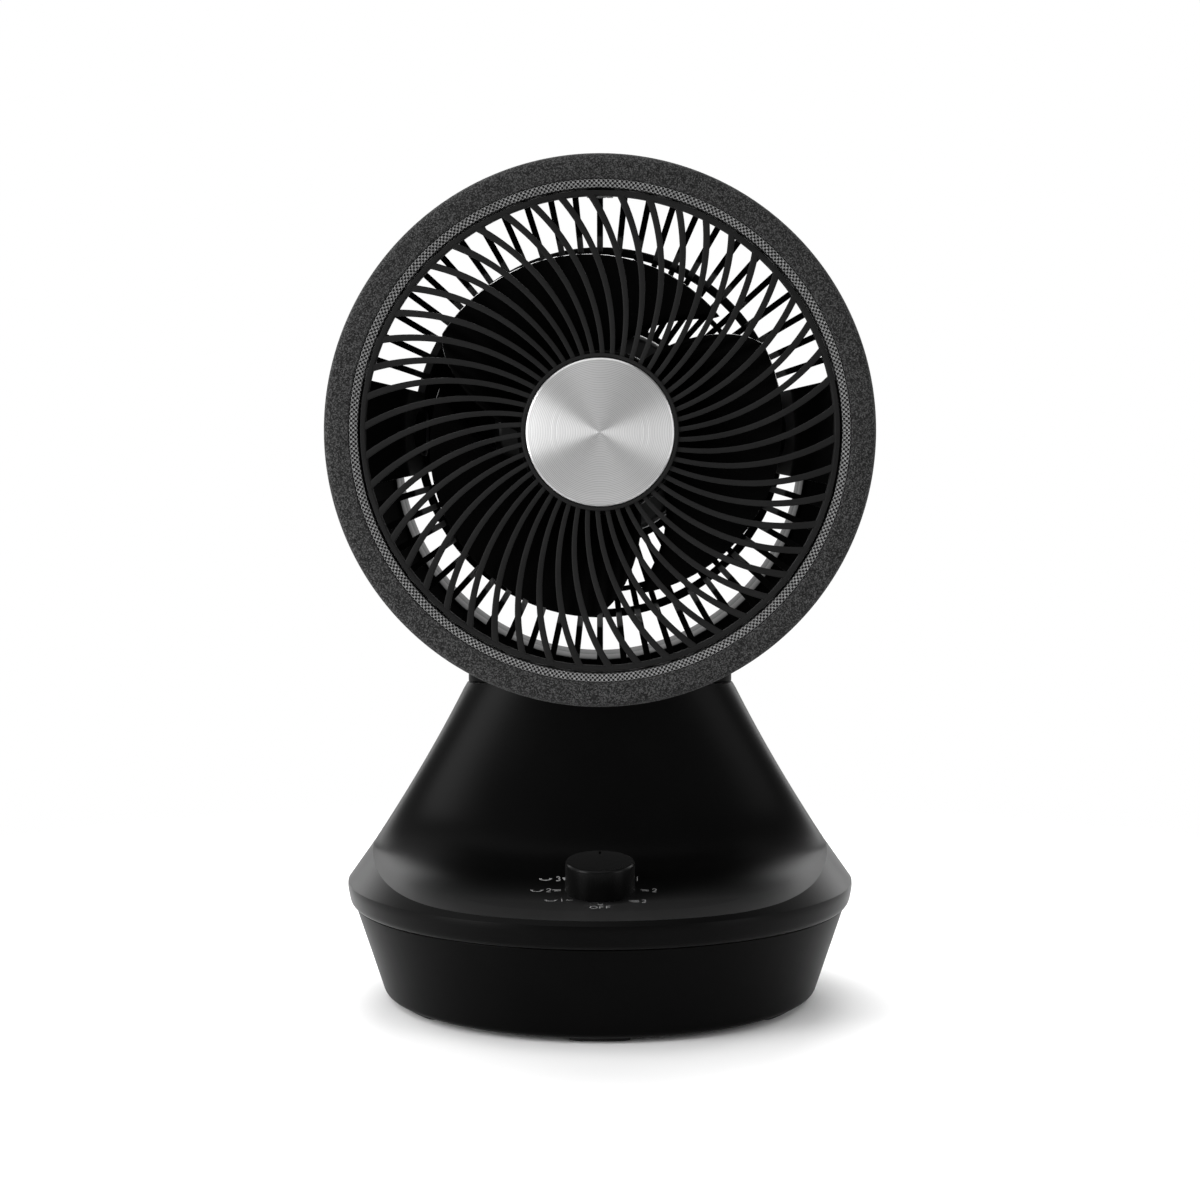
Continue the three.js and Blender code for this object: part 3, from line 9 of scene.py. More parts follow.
import bmesh
import bpy
from mathutils import Matrix, Vector
from mathutils.bvhtree import BVHTree
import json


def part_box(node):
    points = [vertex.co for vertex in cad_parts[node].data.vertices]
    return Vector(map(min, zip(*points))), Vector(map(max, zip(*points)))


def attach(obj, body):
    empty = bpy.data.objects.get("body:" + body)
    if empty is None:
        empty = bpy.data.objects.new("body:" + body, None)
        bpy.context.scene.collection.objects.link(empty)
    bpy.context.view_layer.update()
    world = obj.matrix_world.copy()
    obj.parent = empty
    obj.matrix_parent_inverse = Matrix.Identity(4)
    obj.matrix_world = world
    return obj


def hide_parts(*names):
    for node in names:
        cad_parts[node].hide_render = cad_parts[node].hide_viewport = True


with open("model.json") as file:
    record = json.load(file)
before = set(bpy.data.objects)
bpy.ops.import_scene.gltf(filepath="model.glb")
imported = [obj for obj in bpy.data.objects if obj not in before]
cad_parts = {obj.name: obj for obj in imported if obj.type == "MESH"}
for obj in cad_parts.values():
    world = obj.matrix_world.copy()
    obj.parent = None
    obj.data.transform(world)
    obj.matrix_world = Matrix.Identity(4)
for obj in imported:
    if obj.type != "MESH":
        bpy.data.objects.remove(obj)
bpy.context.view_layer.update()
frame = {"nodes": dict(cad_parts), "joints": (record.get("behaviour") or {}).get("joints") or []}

# ------------------------------------------------------------
# Camera. It stands a little over a metre in front of the fan at the height of its head and looks
# slightly down, through a long lens.

CAMERA_PLACE, LOOKING_DOWN, FOCAL_LENGTH = (0, -1.1257, 0.267), 3.77, 69.36  # metres, degrees, mm

lens = bpy.data.cameras.new("camera")
lens.lens = FOCAL_LENGTH
camera = bpy.data.objects.new("camera", lens)
camera.location = CAMERA_PLACE
camera.rotation_euler = (math.radians(90 - LOOKING_DOWN), 0, 0)
bpy.context.collection.objects.link(camera)
bpy.context.scene.camera = camera
bpy.context.scene.view_settings.view_transform = "Standard"

# ------------------------------------------------------------
# Studio. A round of pale painted floor that fades into a white surround, a soft box on each side
# of the camera, one overhead, and four behind that skim the flanks and the scoop. What the fan
# mirrors is white behind and on the left, and dimmer in front, so that black plastic stays black.


def linear(code):
    """An sRGB hex colour as linear RGBA."""
    parts = [int(code[i : i + 2], 16) / 255 for i in (1, 3, 5)]
    return (*[c / 12.92 if c <= 0.04045 else ((c + 0.055) / 1.055) ** 2.4 for c in parts], 1)


def add_node(tree, kind, values=None, links=None, stops=None, **settings):
    """Adds a node with its settings, the values and links of its sockets, and a ramp's stops."""
    made = tree.nodes.new("ShaderNode" + kind)
    for name, value in settings.items():
        setattr(made, name, value)
    for socket, value in (values or {}).items():
        made.inputs[socket].default_value = value
    for socket, source in (links or {}).items():
        tree.links.new(source, made.inputs[socket])
    for index, (position, code) in enumerate(stops or []):
        ramp = made.color_ramp.elements
        stop = ramp[index] if index < 2 else ramp.new(position)
        stop.position, stop.color = position, linear(code)
    return made


def blank_material(name, laid_by="Object"):
    """A new material, its empty node tree, and the coordinates that lay its patterns."""
    made = bpy.data.materials.new(name)
    made.use_nodes = True
    tree = made.node_tree
    tree.nodes.clear()
    return made, tree, add_node(tree, "TexCoord").outputs[laid_by]


FLOOR_RADIUS, FLOOR_FADE = 0.62, 0.3  # metres: where the floor ends, and where it begins to fade
FLOOR_SIDES = 72


def painted_floor():
    """Matt white floor paint: even and pale, with the faint clouding of a roller."""
    made, tree, place = blank_material("painted_floor")
    reach = add_node(tree, "VectorMath", None, {0: place}, operation="LENGTH")
    fade = add_node(tree, "MapRange", {"From Min": FLOOR_FADE, "From Max": FLOOR_RADIUS},
                    {"Value": reach.outputs["Value"]}, interpolation_type="SMOOTHSTEP")
    cloud = add_node(tree, "TexNoise", {"Scale": 3, "Detail": 2}, {"Vector": place})
    paint = add_node(tree, "ValToRGB", None, {"Fac": cloud.outputs["Fac"]},
                     [(0.3, "#f6f6f6"), (0.7, "#f9f9f9")])
    skin = add_node(tree, "BsdfPrincipled", {"Roughness": 0.9, "Specular IOR Level": 0.1},
                    {"Base Color": paint.outputs["Color"]})
    clear = add_node(tree, "BsdfTransparent")
    faded = add_node(tree, "MixShader", None,
                     {0: fade.outputs[0], 1: skin.outputs[0], 2: clear.outputs[0]})
    add_node(tree, "OutputMaterial", None, {"Surface": faded.outputs[0]})
    return made


floor_mesh = bpy.data.meshes.new("floor")
floor_rim = [2 * math.pi * k / FLOOR_SIDES for k in range(FLOOR_SIDES)]
floor_mesh.from_pydata([(FLOOR_RADIUS * math.cos(a), FLOOR_RADIUS * math.sin(a), 0) for a in floor_rim],
                       [], [tuple(range(FLOOR_SIDES))])
floor_mesh.materials.append(painted_floor())
floor = bpy.data.objects.new("floor", floor_mesh)
bpy.context.collection.objects.link(floor)

world = bpy.data.worlds.new("surround")
world.use_nodes = True
tree = world.node_tree
tree.nodes.clear()
rays = add_node(tree, "LightPath")
toward = add_node(tree, "TexCoord").outputs["Generated"]
way = add_node(tree, "SeparateXYZ", None, {"Vector": toward})
# a mirrored ray sees white where it goes to the rear, +Y, or to the left, -X
behind = add_node(tree, "MapRange", {"From Min": -0.15, "From Max": 0.35},
                  {"Value": way.outputs["Y"]}, interpolation_type="SMOOTHSTEP")
beside = add_node(tree, "MapRange", {"From Min": -0.3, "From Max": -0.85},
                  {"Value": way.outputs["X"]}, interpolation_type="SMOOTHSTEP")
around = add_node(tree, "Math", None, {0: behind.outputs[0], 1: beside.outputs[0]},
                  operation="MAXIMUM")
mirrored = add_node(tree, "Math", None,
                    {0: rays.outputs["Is Glossy Ray"], 1: around.outputs[0]}, operation="MULTIPLY")
direct = add_node(tree, "Math", None,
                  {0: rays.outputs["Is Camera Ray"], 1: rays.outputs["Is Transmission Ray"]},
                  operation="ADD")
seen = add_node(tree, "Math", None, {0: mirrored.outputs[0], 1: direct.outputs[0]},
                operation="ADD", use_clamp=True)
# fill lights the fan, dim is what it mirrors in front, and white is the surround elsewhere
fill = add_node(tree, "Background", {"Color": linear("#f2f2f2"), "Strength": 0.34})
dim = add_node(tree, "Background", {"Color": linear("#f2f2f2"), "Strength": 0.48})
white = add_node(tree, "Background", {"Color": linear("#ffffff"), "Strength": 1})
front = add_node(tree, "MixShader", None,
                 {0: rays.outputs["Is Glossy Ray"], 1: fill.outputs[0], 2: dim.outputs[0]})
surround = add_node(tree, "MixShader", None,
                    {0: seen.outputs[0], 1: front.outputs[0], 2: white.outputs[0]})
add_node(tree, "OutputWorld", None, {"Surface": surround.outputs[0]})
bpy.context.scene.world = world

# each soft box's place and size in metres, and its watts
SOFT_BOXES = {
    "left_box": ((-0.85, -0.55, 0.37), (0.5, 0.8), 10),
    "right_box": ((1.05, -0.6, 0.3), (0.6, 1), 5),
    "top_box": ((-0.3, -0.2, 1.8), (2, 1.8), 22),
    "left_rim_box": ((-0.85, 0.8, 0.55), (0.5, 0.9), 5),
    "right_rim_box": ((0.85, 0.8, 0.55), (0.5, 0.9), 5),
    "left_back_box": ((-0.25, 0.85, 0.95), (0.5, 0.5), 7),
    "right_back_box": ((0.25, 0.85, 0.95), (0.5, 0.5), 7),
}
AIM = Vector((0, 0, 0.25))  # what they face, in metres

for name, (place, (width, height), watts) in SOFT_BOXES.items():
    lamp = bpy.data.lights.new(name, "AREA")
    lamp.shape, lamp.size, lamp.size_y, lamp.energy = "RECTANGLE", width, height, watts
    box = bpy.data.objects.new(name, lamp)
    box.location = place
    box.rotation_euler = (AIM - Vector(place)).to_track_quat("-Z", "Y").to_euler()
    bpy.context.collection.objects.link(box)

# ------------------------------------------------------------
# Feet. Six flat pads of black rubber with rounded ends, die-cut from moulded sheet and glued
# under the rim of the tub.

MM = 0.001  # metres
FOOT_RADIUS, FOOT_WIDTH, FOOT_DEPTH, FOOT_HEIGHT = 94, 27, 11, 1.9
FOOT_STEPS, FOOT_END, FOOT_FULLNESS = 18, 0.35, 10  # the ends' share of the depth, and their curve


def rounded(corners, steps=6):
    """Outline points from (x, y, radius) corners, each with a radius turned into an arc."""
    points = []
    for i, (x, y, radius) in enumerate(corners):
        if not radius:
            points.append((x, y))
            continue
        here = Vector((x, y))
        ahead = (Vector(corners[(i + 1) % len(corners)][:2]) - here).normalized()
        back = (Vector(corners[i - 1][:2]) - here).normalized()
        half = back.angle(ahead) / 2
        centre = here + (ahead + back).normalized() * (radius / math.sin(half))
        first = here + back * (radius / math.tan(half)) - centre
        last = here + ahead * (radius / math.tan(half)) - centre
        start = math.atan2(first.y, first.x)
        turn = (math.atan2(last.y, last.x) - start + math.pi) % (2 * math.pi) - math.pi
        for k in range(steps + 1):
            angle = start + turn * k / steps
            points.append((centre.x + radius * math.cos(angle), centre.y + radius * math.sin(angle)))
    return points


def swept(form, stations):
    """Joins closed rings of points, in metres, into a solid bar with closed ends."""
    rings = [[form.verts.new(point) for point in ring] for ring in stations]
    for ring, following in zip(rings, rings[1:]):
        for j in range(len(ring)):
            k = (j + 1) % len(ring)
            form.faces.new((ring[j], ring[k], following[k], following[j]))
    form.faces.new(rings[0][::-1])
    form.faces.new(rings[-1])


def placed(name, form):
    """A new object in the scene from a form, which is freed."""
    mesh = bpy.data.meshes.new(name)
    form.to_mesh(mesh)
    form.free()
    made = bpy.data.objects.new(name, mesh)
    bpy.context.collection.objects.link(made)
    return made


def piece(name, form, material, slot, body, *nodes, sharp=35):
    """Finishes a form: smooth but for its sharp edges, with its material, body and CAD nodes."""
    bmesh.ops.recalc_face_normals(form, faces=form.faces)
    made = placed(name, form)
    made.data.shade_smooth()
    made.data.set_sharp_from_angle(angle=math.radians(sharp))
    made.data.materials.append(material)
    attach(made, body)
    if nodes:
        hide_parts(*nodes)
    return made


def moulded_rubber():
    """Black rubber, moulded: dead matt and a little dusty, with a skin of 0.7 mm pebbles."""
    made, tree, place = blank_material("moulded_rubber")
    pebble = add_node(tree, "TexVoronoi", {"Scale": 1400}, {"Vector": place})
    dust = add_node(tree, "TexNoise", {"Scale": 120, "Detail": 4}, {"Vector": place})
    tint = add_node(tree, "ValToRGB", None, {"Fac": dust.outputs["Fac"]},
                    [(0.35, "#141414"), (0.7, "#222222")])
    relief = add_node(tree, "Bump", {"Strength": 0.4, "Distance": 0.1 * MM},
                      {"Height": pebble.outputs["Distance"]})
    skin = add_node(tree, "BsdfPrincipled", {"Roughness": 0.85, "Specular IOR Level": 0.25},
                    {"Base Color": tint.outputs["Color"], "Normal": relief.outputs["Normal"]})
    add_node(tree, "OutputMaterial", None, {"Surface": skin.outputs[0]})
    return made


rubber = moulded_rubber()
pad_section = rounded([(0, 0, 0.3), (FOOT_DEPTH, 0, 0.3), (FOOT_DEPTH, FOOT_HEIGHT, 0.5),
                       (0, FOOT_HEIGHT, 0.5)], 3)
for index in range(6):
    middle = math.radians(-90 + 60 * index)
    half = FOOT_WIDTH / FOOT_RADIUS / 2
    stations = []
    for k in range(FOOT_STEPS + 1):
        share = math.sin((k / FOOT_STEPS - 0.5) * math.pi)  # closer together at the rounded ends
        angle = middle + half * share
        width = FOOT_END + (1 - FOOT_END) * math.sqrt(max(0, 1 - abs(share) ** FOOT_FULLNESS))
        ring = []
        for across, height in pad_section:
            radius = FOOT_RADIUS + (across - FOOT_DEPTH / 2) * width
            ring.append(Vector((radius * math.cos(angle), radius * math.sin(angle), height)) * MM)
        stations.append(ring)
    form = bmesh.new()
    swept(form, stations)
    piece(f"rubber_foot_{index + 1}", form, rubber, "rubber", "base", f"foot_{index + 1}")

# ------------------------------------------------------------
# Tub. The lower shell of the base, injection-moulded in black ABS with a fine spark-eroded
# grain; its wall leans out, and four screws in its floor hold the cover.

TUB_FLOOR, TUB_TOP, TUB_WALL, TUB_CORNER = 2.2, 46, 2.6, 4.5
TUB_BOTTOM_RADIUS, TUB_DRAFT = 102, 0.333
SCREW_PLACES = [(x, y) for x in (-72, 72) for y in (-42, 42)]
SCREW_RECESS = 3.9
INLET_HEIGHT, INLET_RADIUS, INLET_REACH = 19, 6.1, 6  # the cord's hole through the wall


def tub_radius(height):
    """Outer radius of the tub's leaning wall."""
    return TUB_BOTTOM_RADIUS + TUB_CORNER + (height - TUB_FLOOR - TUB_CORNER) * TUB_DRAFT


def turned(outline, place, sides=192, form=None):
    """A form turned about local Z from a closed outline of (radius, height) points in mm. Its
    UVs are millimetres round the form at its widest, and along the outline."""
    form = form or bmesh.new()
    uv = form.loops.layers.uv.verify()
    along = [0]
    for (r0, h0), (r1, h1) in zip(outline, outline[1:] + outline[:1]):
        along.append(along[-1] + math.hypot(r1 - r0, h1 - h0))
    column = 2 * math.pi * max(r for r, _ in outline) / sides
    rings = []
    for i in range(sides):
        angle = 2 * math.pi * i / sides
        spot = [Vector((r * math.cos(angle), r * math.sin(angle), h)) * MM for r, h in outline]
        rings.append([form.verts.new(place @ point) for point in spot])
    for i in range(sides):
        ring, following = rings[i], rings[(i + 1) % sides]
        for j in range(len(outline)):
            k = (j + 1) % len(outline)
            if outline[j][0] < 1e-6 and outline[k][0] < 1e-6:
                continue
            face = form.faces.new((ring[j], following[j], following[k], ring[k]))
            spots = ((i, j), (i + 1, j), (i + 1, j + 1), (i, j + 1))
            for loop, (c, row) in zip(face.loops, spots):
                loop[uv].uv = (c * column, along[row])
    bmesh.ops.remove_doubles(form, verts=form.verts, dist=1e-7)
    return form


def drum(radius, bottom, top, place, sides=48):
    """A plain cylinder about local Z, for a cutter or a boss."""
    return turned([(0, bottom), (radius, bottom), (radius, top), (0, top)], place, sides)


def carved(form, cutters, operation="DIFFERENCE"):
    """The form after each cutter is taken from it, or joined to it."""
    bmesh.ops.recalc_face_normals(form, faces=form.faces)
    body = placed("carved", form)
    tools = []
    for cutter in cutters:
        bmesh.ops.recalc_face_normals(cutter, faces=cutter.faces)
        tools.append(placed("cutter", cutter))
        cut = body.modifiers.new("cut", "BOOLEAN")
        cut.object, cut.operation, cut.solver = tools[-1], operation, "EXACT"
    bpy.context.view_layer.update()
    result = bmesh.new()
    result.from_object(body, bpy.context.evaluated_depsgraph_get())
    for spare in (body, *tools):
        data = spare.data
        bpy.data.objects.remove(spare)
        bpy.data.meshes.remove(data)
    return result


def moulded_abs(name, deep, worn, roughness, grain_mm, grain_depth, reflection, bloom):
    """Black ABS from a spark-eroded mould: near-black face on, with a grey bloom where the eye
    skims its fine grain. The real grain is about 0.1 mm, and is drawn coarser so that it shows."""
    made, tree, place = blank_material(name)
    grain = add_node(tree, "TexNoise", {"Scale": 1000 / grain_mm, "Detail": 2},
                     {"Vector": place})
    cloud = add_node(tree, "TexNoise", {"Scale": 22, "Detail": 4}, {"Vector": place})
    tint = add_node(tree, "ValToRGB", None, {"Fac": cloud.outputs["Fac"]},
                    [(0.35, deep), (0.7, worn)])
    polish = add_node(tree, "MapRange",
                      {"To Min": roughness - 0.03, "To Max": roughness + 0.05},
                      {"Value": cloud.outputs["Fac"]})
    relief = add_node(tree, "Bump", {"Strength": 0.35, "Distance": grain_depth * MM},
                      {"Height": grain.outputs["Fac"]})
    skin = add_node(tree, "BsdfPrincipled",
                    {"Specular IOR Level": reflection, "Sheen Weight": bloom, "Sheen Roughness": 0.35},
                    {"Base Color": tint.outputs["Color"], "Roughness": polish.outputs[0],
                     "Normal": relief.outputs["Normal"]})
    add_node(tree, "OutputMaterial", None, {"Surface": skin.outputs[0]})
    return made


satin_black = moulded_abs("satin_black_abs", "#030303", "#050505", roughness=0.4, grain_mm=0.6,
                          grain_depth=0.02, reflection=0.03, bloom=0.05)
UPRIGHT = Matrix()
wall_foot = TUB_FLOOR + TUB_WALL
outline = rounded([
    (0, TUB_FLOOR, 0),
    (TUB_BOTTOM_RADIUS + 3, TUB_FLOOR, TUB_CORNER),
    (tub_radius(TUB_TOP), TUB_TOP, 0.5),
    (tub_radius(TUB_TOP) - TUB_WALL, TUB_TOP, 0.3),
    (TUB_BOTTOM_RADIUS + 1.2, wall_foot, TUB_CORNER),
    (0, wall_foot, 0),
], 8)
recesses = [drum(SCREW_RECESS, 0, wall_foot, Matrix.Translation((x * MM, y * MM, 0)))
            for x, y in SCREW_PLACES]
lean = math.atan(TUB_DRAFT)
inlet_spot = Vector((0, tub_radius(INLET_HEIGHT) - TUB_WALL / 2, INLET_HEIGHT)) * MM
inlet_place = Matrix.Translation(inlet_spot) @ Matrix.Rotation(-math.pi / 2 - lean, 4, "X")
recesses.append(drum(INLET_RADIUS, -INLET_REACH, INLET_REACH, inlet_place))
piece("tub_shell", carved(turned(outline, UPRIGHT, 256), recesses), satin_black, "satin_plastic",
      "base", "base_tub")

# ------------------------------------------------------------
# Cord grommet. A sleeve of black rubber pushed through the hole in the back of the tub, with a
# flange outside, a raised ring on the flange and a collar round the opening for the cord.

grommet = rounded([
    (4.2, -1.9, 0), (5.8, -1.9, 0), (5.8, 1.9, 0), (9, 1.9, 0.4), (8.6, 2.7, 0.3), (7.4, 2.7, 0.2),
    (7.2, 2.4, 0.1), (6.9, 3.1, 0.3), (6.5, 3.1, 0.2), (6.3, 2.9, 0), (5.9, 4.5, 0.5), (4.2, 4.5, 0.4),
], 3)
piece("cord_grommet", turned(grommet, inlet_place, 48), rubber, "rubber", "base", "cord_inlet")

# ------------------------------------------------------------
# Cover. The upper shell, moulded in the same black ABS but smoother: a rounded lip over the tub,
# a chamfer band, and a flare that is scooped out in front of the neck for the knob.

LIP_RADIUS, LIP_TOP, BAND_SLOPE = 123.2, 58.4, 0.708
# radius and height down the lip, which rolls in to meet the tub
LIP = [(123.05, 57.2), (123.2, 55.5), (123, 53.5), (122.6, 51.5), (122.3, 50), (122, 48.8),
       (121.6, 47.8), (121.1, 47.1), (120.5, 46.6), (119.9, 46.3)]
CREASE_SIDE, CREASE_FRONT, CREASE_RISE = 75.2, 59.4, 6  # heights, and how late it rises
NECK_TOP, NECK_HALF_WIDTH, NECK_HALF_DEPTH = 153, 64.9, 30
COVER_BOTTOM, COVER_WALL, NECK_PLATE = 46.3, 3, 4
SPINDLE_HOLE = 11.3
SPREAD, CURL, SETTLING = 0.14, 5, 4  # how late the sides spread, the scoop curls and both settle
FLARE_ROWS, CROWDING, BAND_ROWS, COVER_SIDES = 44, 1.8, 6, 288  # the rows crowd near the crease


def crease_height(angle):
    """Height of the crease at an angle from the front."""
    if math.cos(angle) < 0:
        return CREASE_SIDE
    return CREASE_FRONT + (CREASE_SIDE - CREASE_FRONT) * abs(math.sin(angle)) ** CREASE_RISE


def band_radius(height):
    """Outer radius of the chamfer band at a height."""
    return LIP_RADIUS - 1 - (height - LIP_TOP) * BAND_SLOPE


def flare_point(share, angle):
    """Radius and height of the flare, from 0 at the neck to 1 at the crease."""
    spread = (1 - SPREAD) * share + SPREAD * share ** 2
    curl = 1 - (1 - share ** CURL) ** (1 / CURL)
    front = math.cos(angle) >= 0
    low = CREASE_FRONT if front else CREASE_SIDE
    width = NECK_HALF_WIDTH + (band_radius(CREASE_SIDE) - NECK_HALF_WIDTH) * spread
    depth = NECK_HALF_DEPTH + (band_radius(low) - NECK_HALF_DEPTH) * (curl if front else spread)
    plain = 1 / math.hypot(math.sin(angle) / width, math.cos(angle) / depth)
    crease = 1 / math.hypot(math.sin(angle) / band_radius(CREASE_SIDE),
                            math.cos(angle) / band_radius(low))
    fit = 1 + (band_radius(crease_height(angle)) / crease - 1) * share ** SETTLING
    return plain * fit, NECK_TOP - (NECK_TOP - crease_height(angle)) * share


def cover_column(angle):
    """Radius and height down the outside of the cover at an angle, and up its inside."""
    outside = [(SPINDLE_HOLE, NECK_TOP), (NECK_HALF_DEPTH - 4, NECK_TOP)]
    top_radius, _ = flare_point(0, angle)
    outside += [(top_radius - 0.6, NECK_TOP), (top_radius - 0.15, NECK_TOP - 0.15)]  # a broken edge
    shares = [1 - (1 - k / FLARE_ROWS) ** CROWDING for k in range(1, FLARE_ROWS + 1)]
    outside += [flare_point(share, angle) for share in shares]
    crease = crease_height(angle)
    for k in range(1, BAND_ROWS + 1):
        height = crease + (LIP_TOP - crease) * k / BAND_ROWS
        outside.append((band_radius(height), height))
    outside += LIP
    rows = outside[:3:-3]  # every third one is enough inside
    inside = [(r - COVER_WALL, max(z, COVER_BOTTOM)) for r, z in rows]
    inside = [(max(r, SPINDLE_HOLE + 2), min(z, NECK_TOP - NECK_PLATE)) for r, z in inside]
    return outside + inside + [(SPINDLE_HOLE, NECK_TOP - NECK_PLATE)]


form = bmesh.new()
columns = []
for i in range(COVER_SIDES):
    angle = 2 * math.pi * i / COVER_SIDES
    columns.append([form.verts.new(Vector((r * math.sin(angle), -r * math.cos(angle), z)) * MM)
                    for r, z in cover_column(angle)])
for i in range(COVER_SIDES):
    left, right = columns[i], columns[(i + 1) % COVER_SIDES]
    for j in range(len(left)):
        k = (j + 1) % len(left)
        form.faces.new((left[j], left[k], right[k], right[j]))
satin_cover = moulded_abs("satin_black_cover_abs", "#030303", "#050505", roughness=0.34, grain_mm=0.5,
                          grain_depth=0.012, reflection=0.045, bloom=0.05)
cover = piece("cover_shell", form, satin_cover, "satin_plastic", "base", "top_cover", sharp=18)

# ------------------------------------------------------------
# Switch and control board. The works under the cover: a rotary switch behind the scoop, a green
# glass-epoxy board with the motor's run capacitor, and plated screws up through the tub.


def dress(material, *nodes):
    """Gives CAD nodes that stay as they are a material in place of their plain one."""
    for name in nodes:
        for kept in frame["nodes"][name].material_slots:
            kept.material = material


def plated_steel():
    """Zinc-plated steel: a bright grey metal, with soft wipe marks and a slight mottle."""
    made, tree, place = blank_material("plated_steel")
    mottle = add_node(tree, "TexNoise", {"Scale": 600, "Detail": 5}, {"Vector": place})
    tint = add_node(tree, "ValToRGB", None, {"Fac": mottle.outputs["Fac"]},
                    [(0.3, "#8f9092"), (0.7, "#b4b5b6")])
    polish = add_node(tree, "MapRange", {"To Min": 0.26, "To Max": 0.42},
                      {"Value": mottle.outputs["Fac"]})
    skin = add_node(tree, "BsdfPrincipled", {"Metallic": 1},
                    {"Base Color": tint.outputs["Color"], "Roughness": polish.outputs[0]})
    add_node(tree, "OutputMaterial", None, {"Surface": skin.outputs[0]})
    return made


def moulded_plastic(name, deep, pale, roughness):
    """An unpainted engineering plastic: even, softly shining, with faint flow marks."""
    made, tree, place = blank_material(name)
    flow = add_node(tree, "TexNoise", {"Scale": 70, "Detail": 4, "Distortion": 1.5},
                    {"Vector": place})
    tint = add_node(tree, "ValToRGB", None, {"Fac": flow.outputs["Fac"]},
                    [(0.35, deep), (0.65, pale)])
    relief = add_node(tree, "Bump", {"Strength": 0.15, "Distance": 0.1 * MM},
                      {"Height": flow.outputs["Fac"]})
    skin = add_node(tree, "BsdfPrincipled",
                    {"Roughness": roughness, "Specular IOR Level": 0.4},
                    {"Base Color": tint.outputs["Color"], "Normal": relief.outputs["Normal"]})
    add_node(tree, "OutputMaterial", None, {"Surface": skin.outputs[0]})
    return made


steel = plated_steel()
nylon = moulded_plastic("natural_nylon", "#cfcbbf", "#dedbd0", 0.5)
matt_black = moulded_plastic("matt_black_plastic", "#080808", "#0d0d0d", 0.55)
dress(steel, "switch_nut", *[f"base_screw_{i}" for i in range(1, 5)])
dress(matt_black, "switch_body")
dress(nylon, "knob_shaft")
# the board's lacquer is as even and as softly shining as a moulding
dress(moulded_plastic("solder_mask_green", "#1b5136", "#236443", 0.3), "control_board")
dress(moulded_plastic("light_grey_case_plastic", "#b0b1b0", "#bebfbe", 0.45), "run_capacitor")

# ------------------------------------------------------------
# Control knob. A plain drum of black ABS pushed on the switch's shaft, leaning forward with the
# scoop; its top edge is rounded and a short groove in its top points to the setting.

KNOB_RADIUS, KNOB_BOTTOM, KNOB_TOP, KNOB_TILT = 16.2, 2.2, 16.8, 8
GROOVE, GROOVE_START, GROOVE_END, GROOVE_DEPTH = 0.5, 9.8, 13.8, 0.6  # half its width first
knob_joint = next(joint for joint in frame["joints"] if joint["name"] == "knob_turn")
knob_place = (Matrix.Translation(knob_joint["pos_m"])
              @ Matrix.Rotation(math.radians(KNOB_TILT), 4, "X"))
outline = rounded([
    (0, KNOB_BOTTOM + 1.4, 0), (9, KNOB_BOTTOM + 1.4, 0), (9, KNOB_BOTTOM, 0.3),
    (KNOB_RADIUS, KNOB_BOTTOM, 0.4), (KNOB_RADIUS - 0.25, KNOB_TOP, 1.3), (0, KNOB_TOP - 0.05, 0),
], 6)
groove = bmesh.new()
end = GROOVE - 0.01
groove_outline = rounded([(-GROOVE, GROOVE_START, end), (GROOVE, GROOVE_START, end),
                          (GROOVE, GROOVE_END, end), (-GROOVE, GROOVE_END, end)], 4)
swept(groove, [[knob_place @ (Vector((x, y, z)) * MM) for x, y in groove_outline]
               for z in (KNOB_TOP - GROOVE_DEPTH, KNOB_TOP + 1)])
satin_knob = moulded_abs("satin_black_knob_abs", "#060606", "#090909", roughness=0.25, grain_mm=0.4,
                         grain_depth=0.01, reflection=0.08, bloom=0.04)
piece("knob_drum", carved(turned(outline, knob_place, 128), [groove]), satin_knob, "satin_plastic",
      "knob", "control_knob", sharp=30)

# ------------------------------------------------------------
# Scale round the knob. Thin white pad printing on the scoop: OFF in front, the speeds 1 to 3
# with their wind marks on the right, and the same with a swing mark on the left.

STROKE_ACROSS, STROKE_DEEP = 0.32, 0.52  # widths of lines that run to the back, and to the side
INK_PROUD, LINE_STEP = 0.03, 1.2  # how far it lies above the scoop, and its points' distance
ABOVE_SCOOP = 140


def printing_ink():
    """White pad-printing ink: flat and slightly worn, so that black shows through in places."""
    made, tree, place = blank_material("white_printing_ink")
    wear = add_node(tree, "TexNoise", {"Scale": 2500, "Detail": 3}, {"Vector": place})
    tint = add_node(tree, "ValToRGB", None, {"Fac": wear.outputs["Fac"]},
                    [(0.25, "#7c7c7c"), (0.6, "#b6b6b6")])
    skin = add_node(tree, "BsdfPrincipled", {"Roughness": 0.6, "Specular IOR Level": 0.3},
                    {"Base Color": tint.outputs["Color"]})
    add_node(tree, "OutputMaterial", None, {"Surface": skin.outputs[0]})
    return made


def arc_points(x, y, width, height, start, end, steps=12):
    """Points along part of an ellipse, angles in degrees."""
    angles = [math.radians(start + (end - start) * k / steps) for k in range(steps + 1)]
    return [(x + width * math.cos(a), y + height * math.sin(a)) for a in angles]


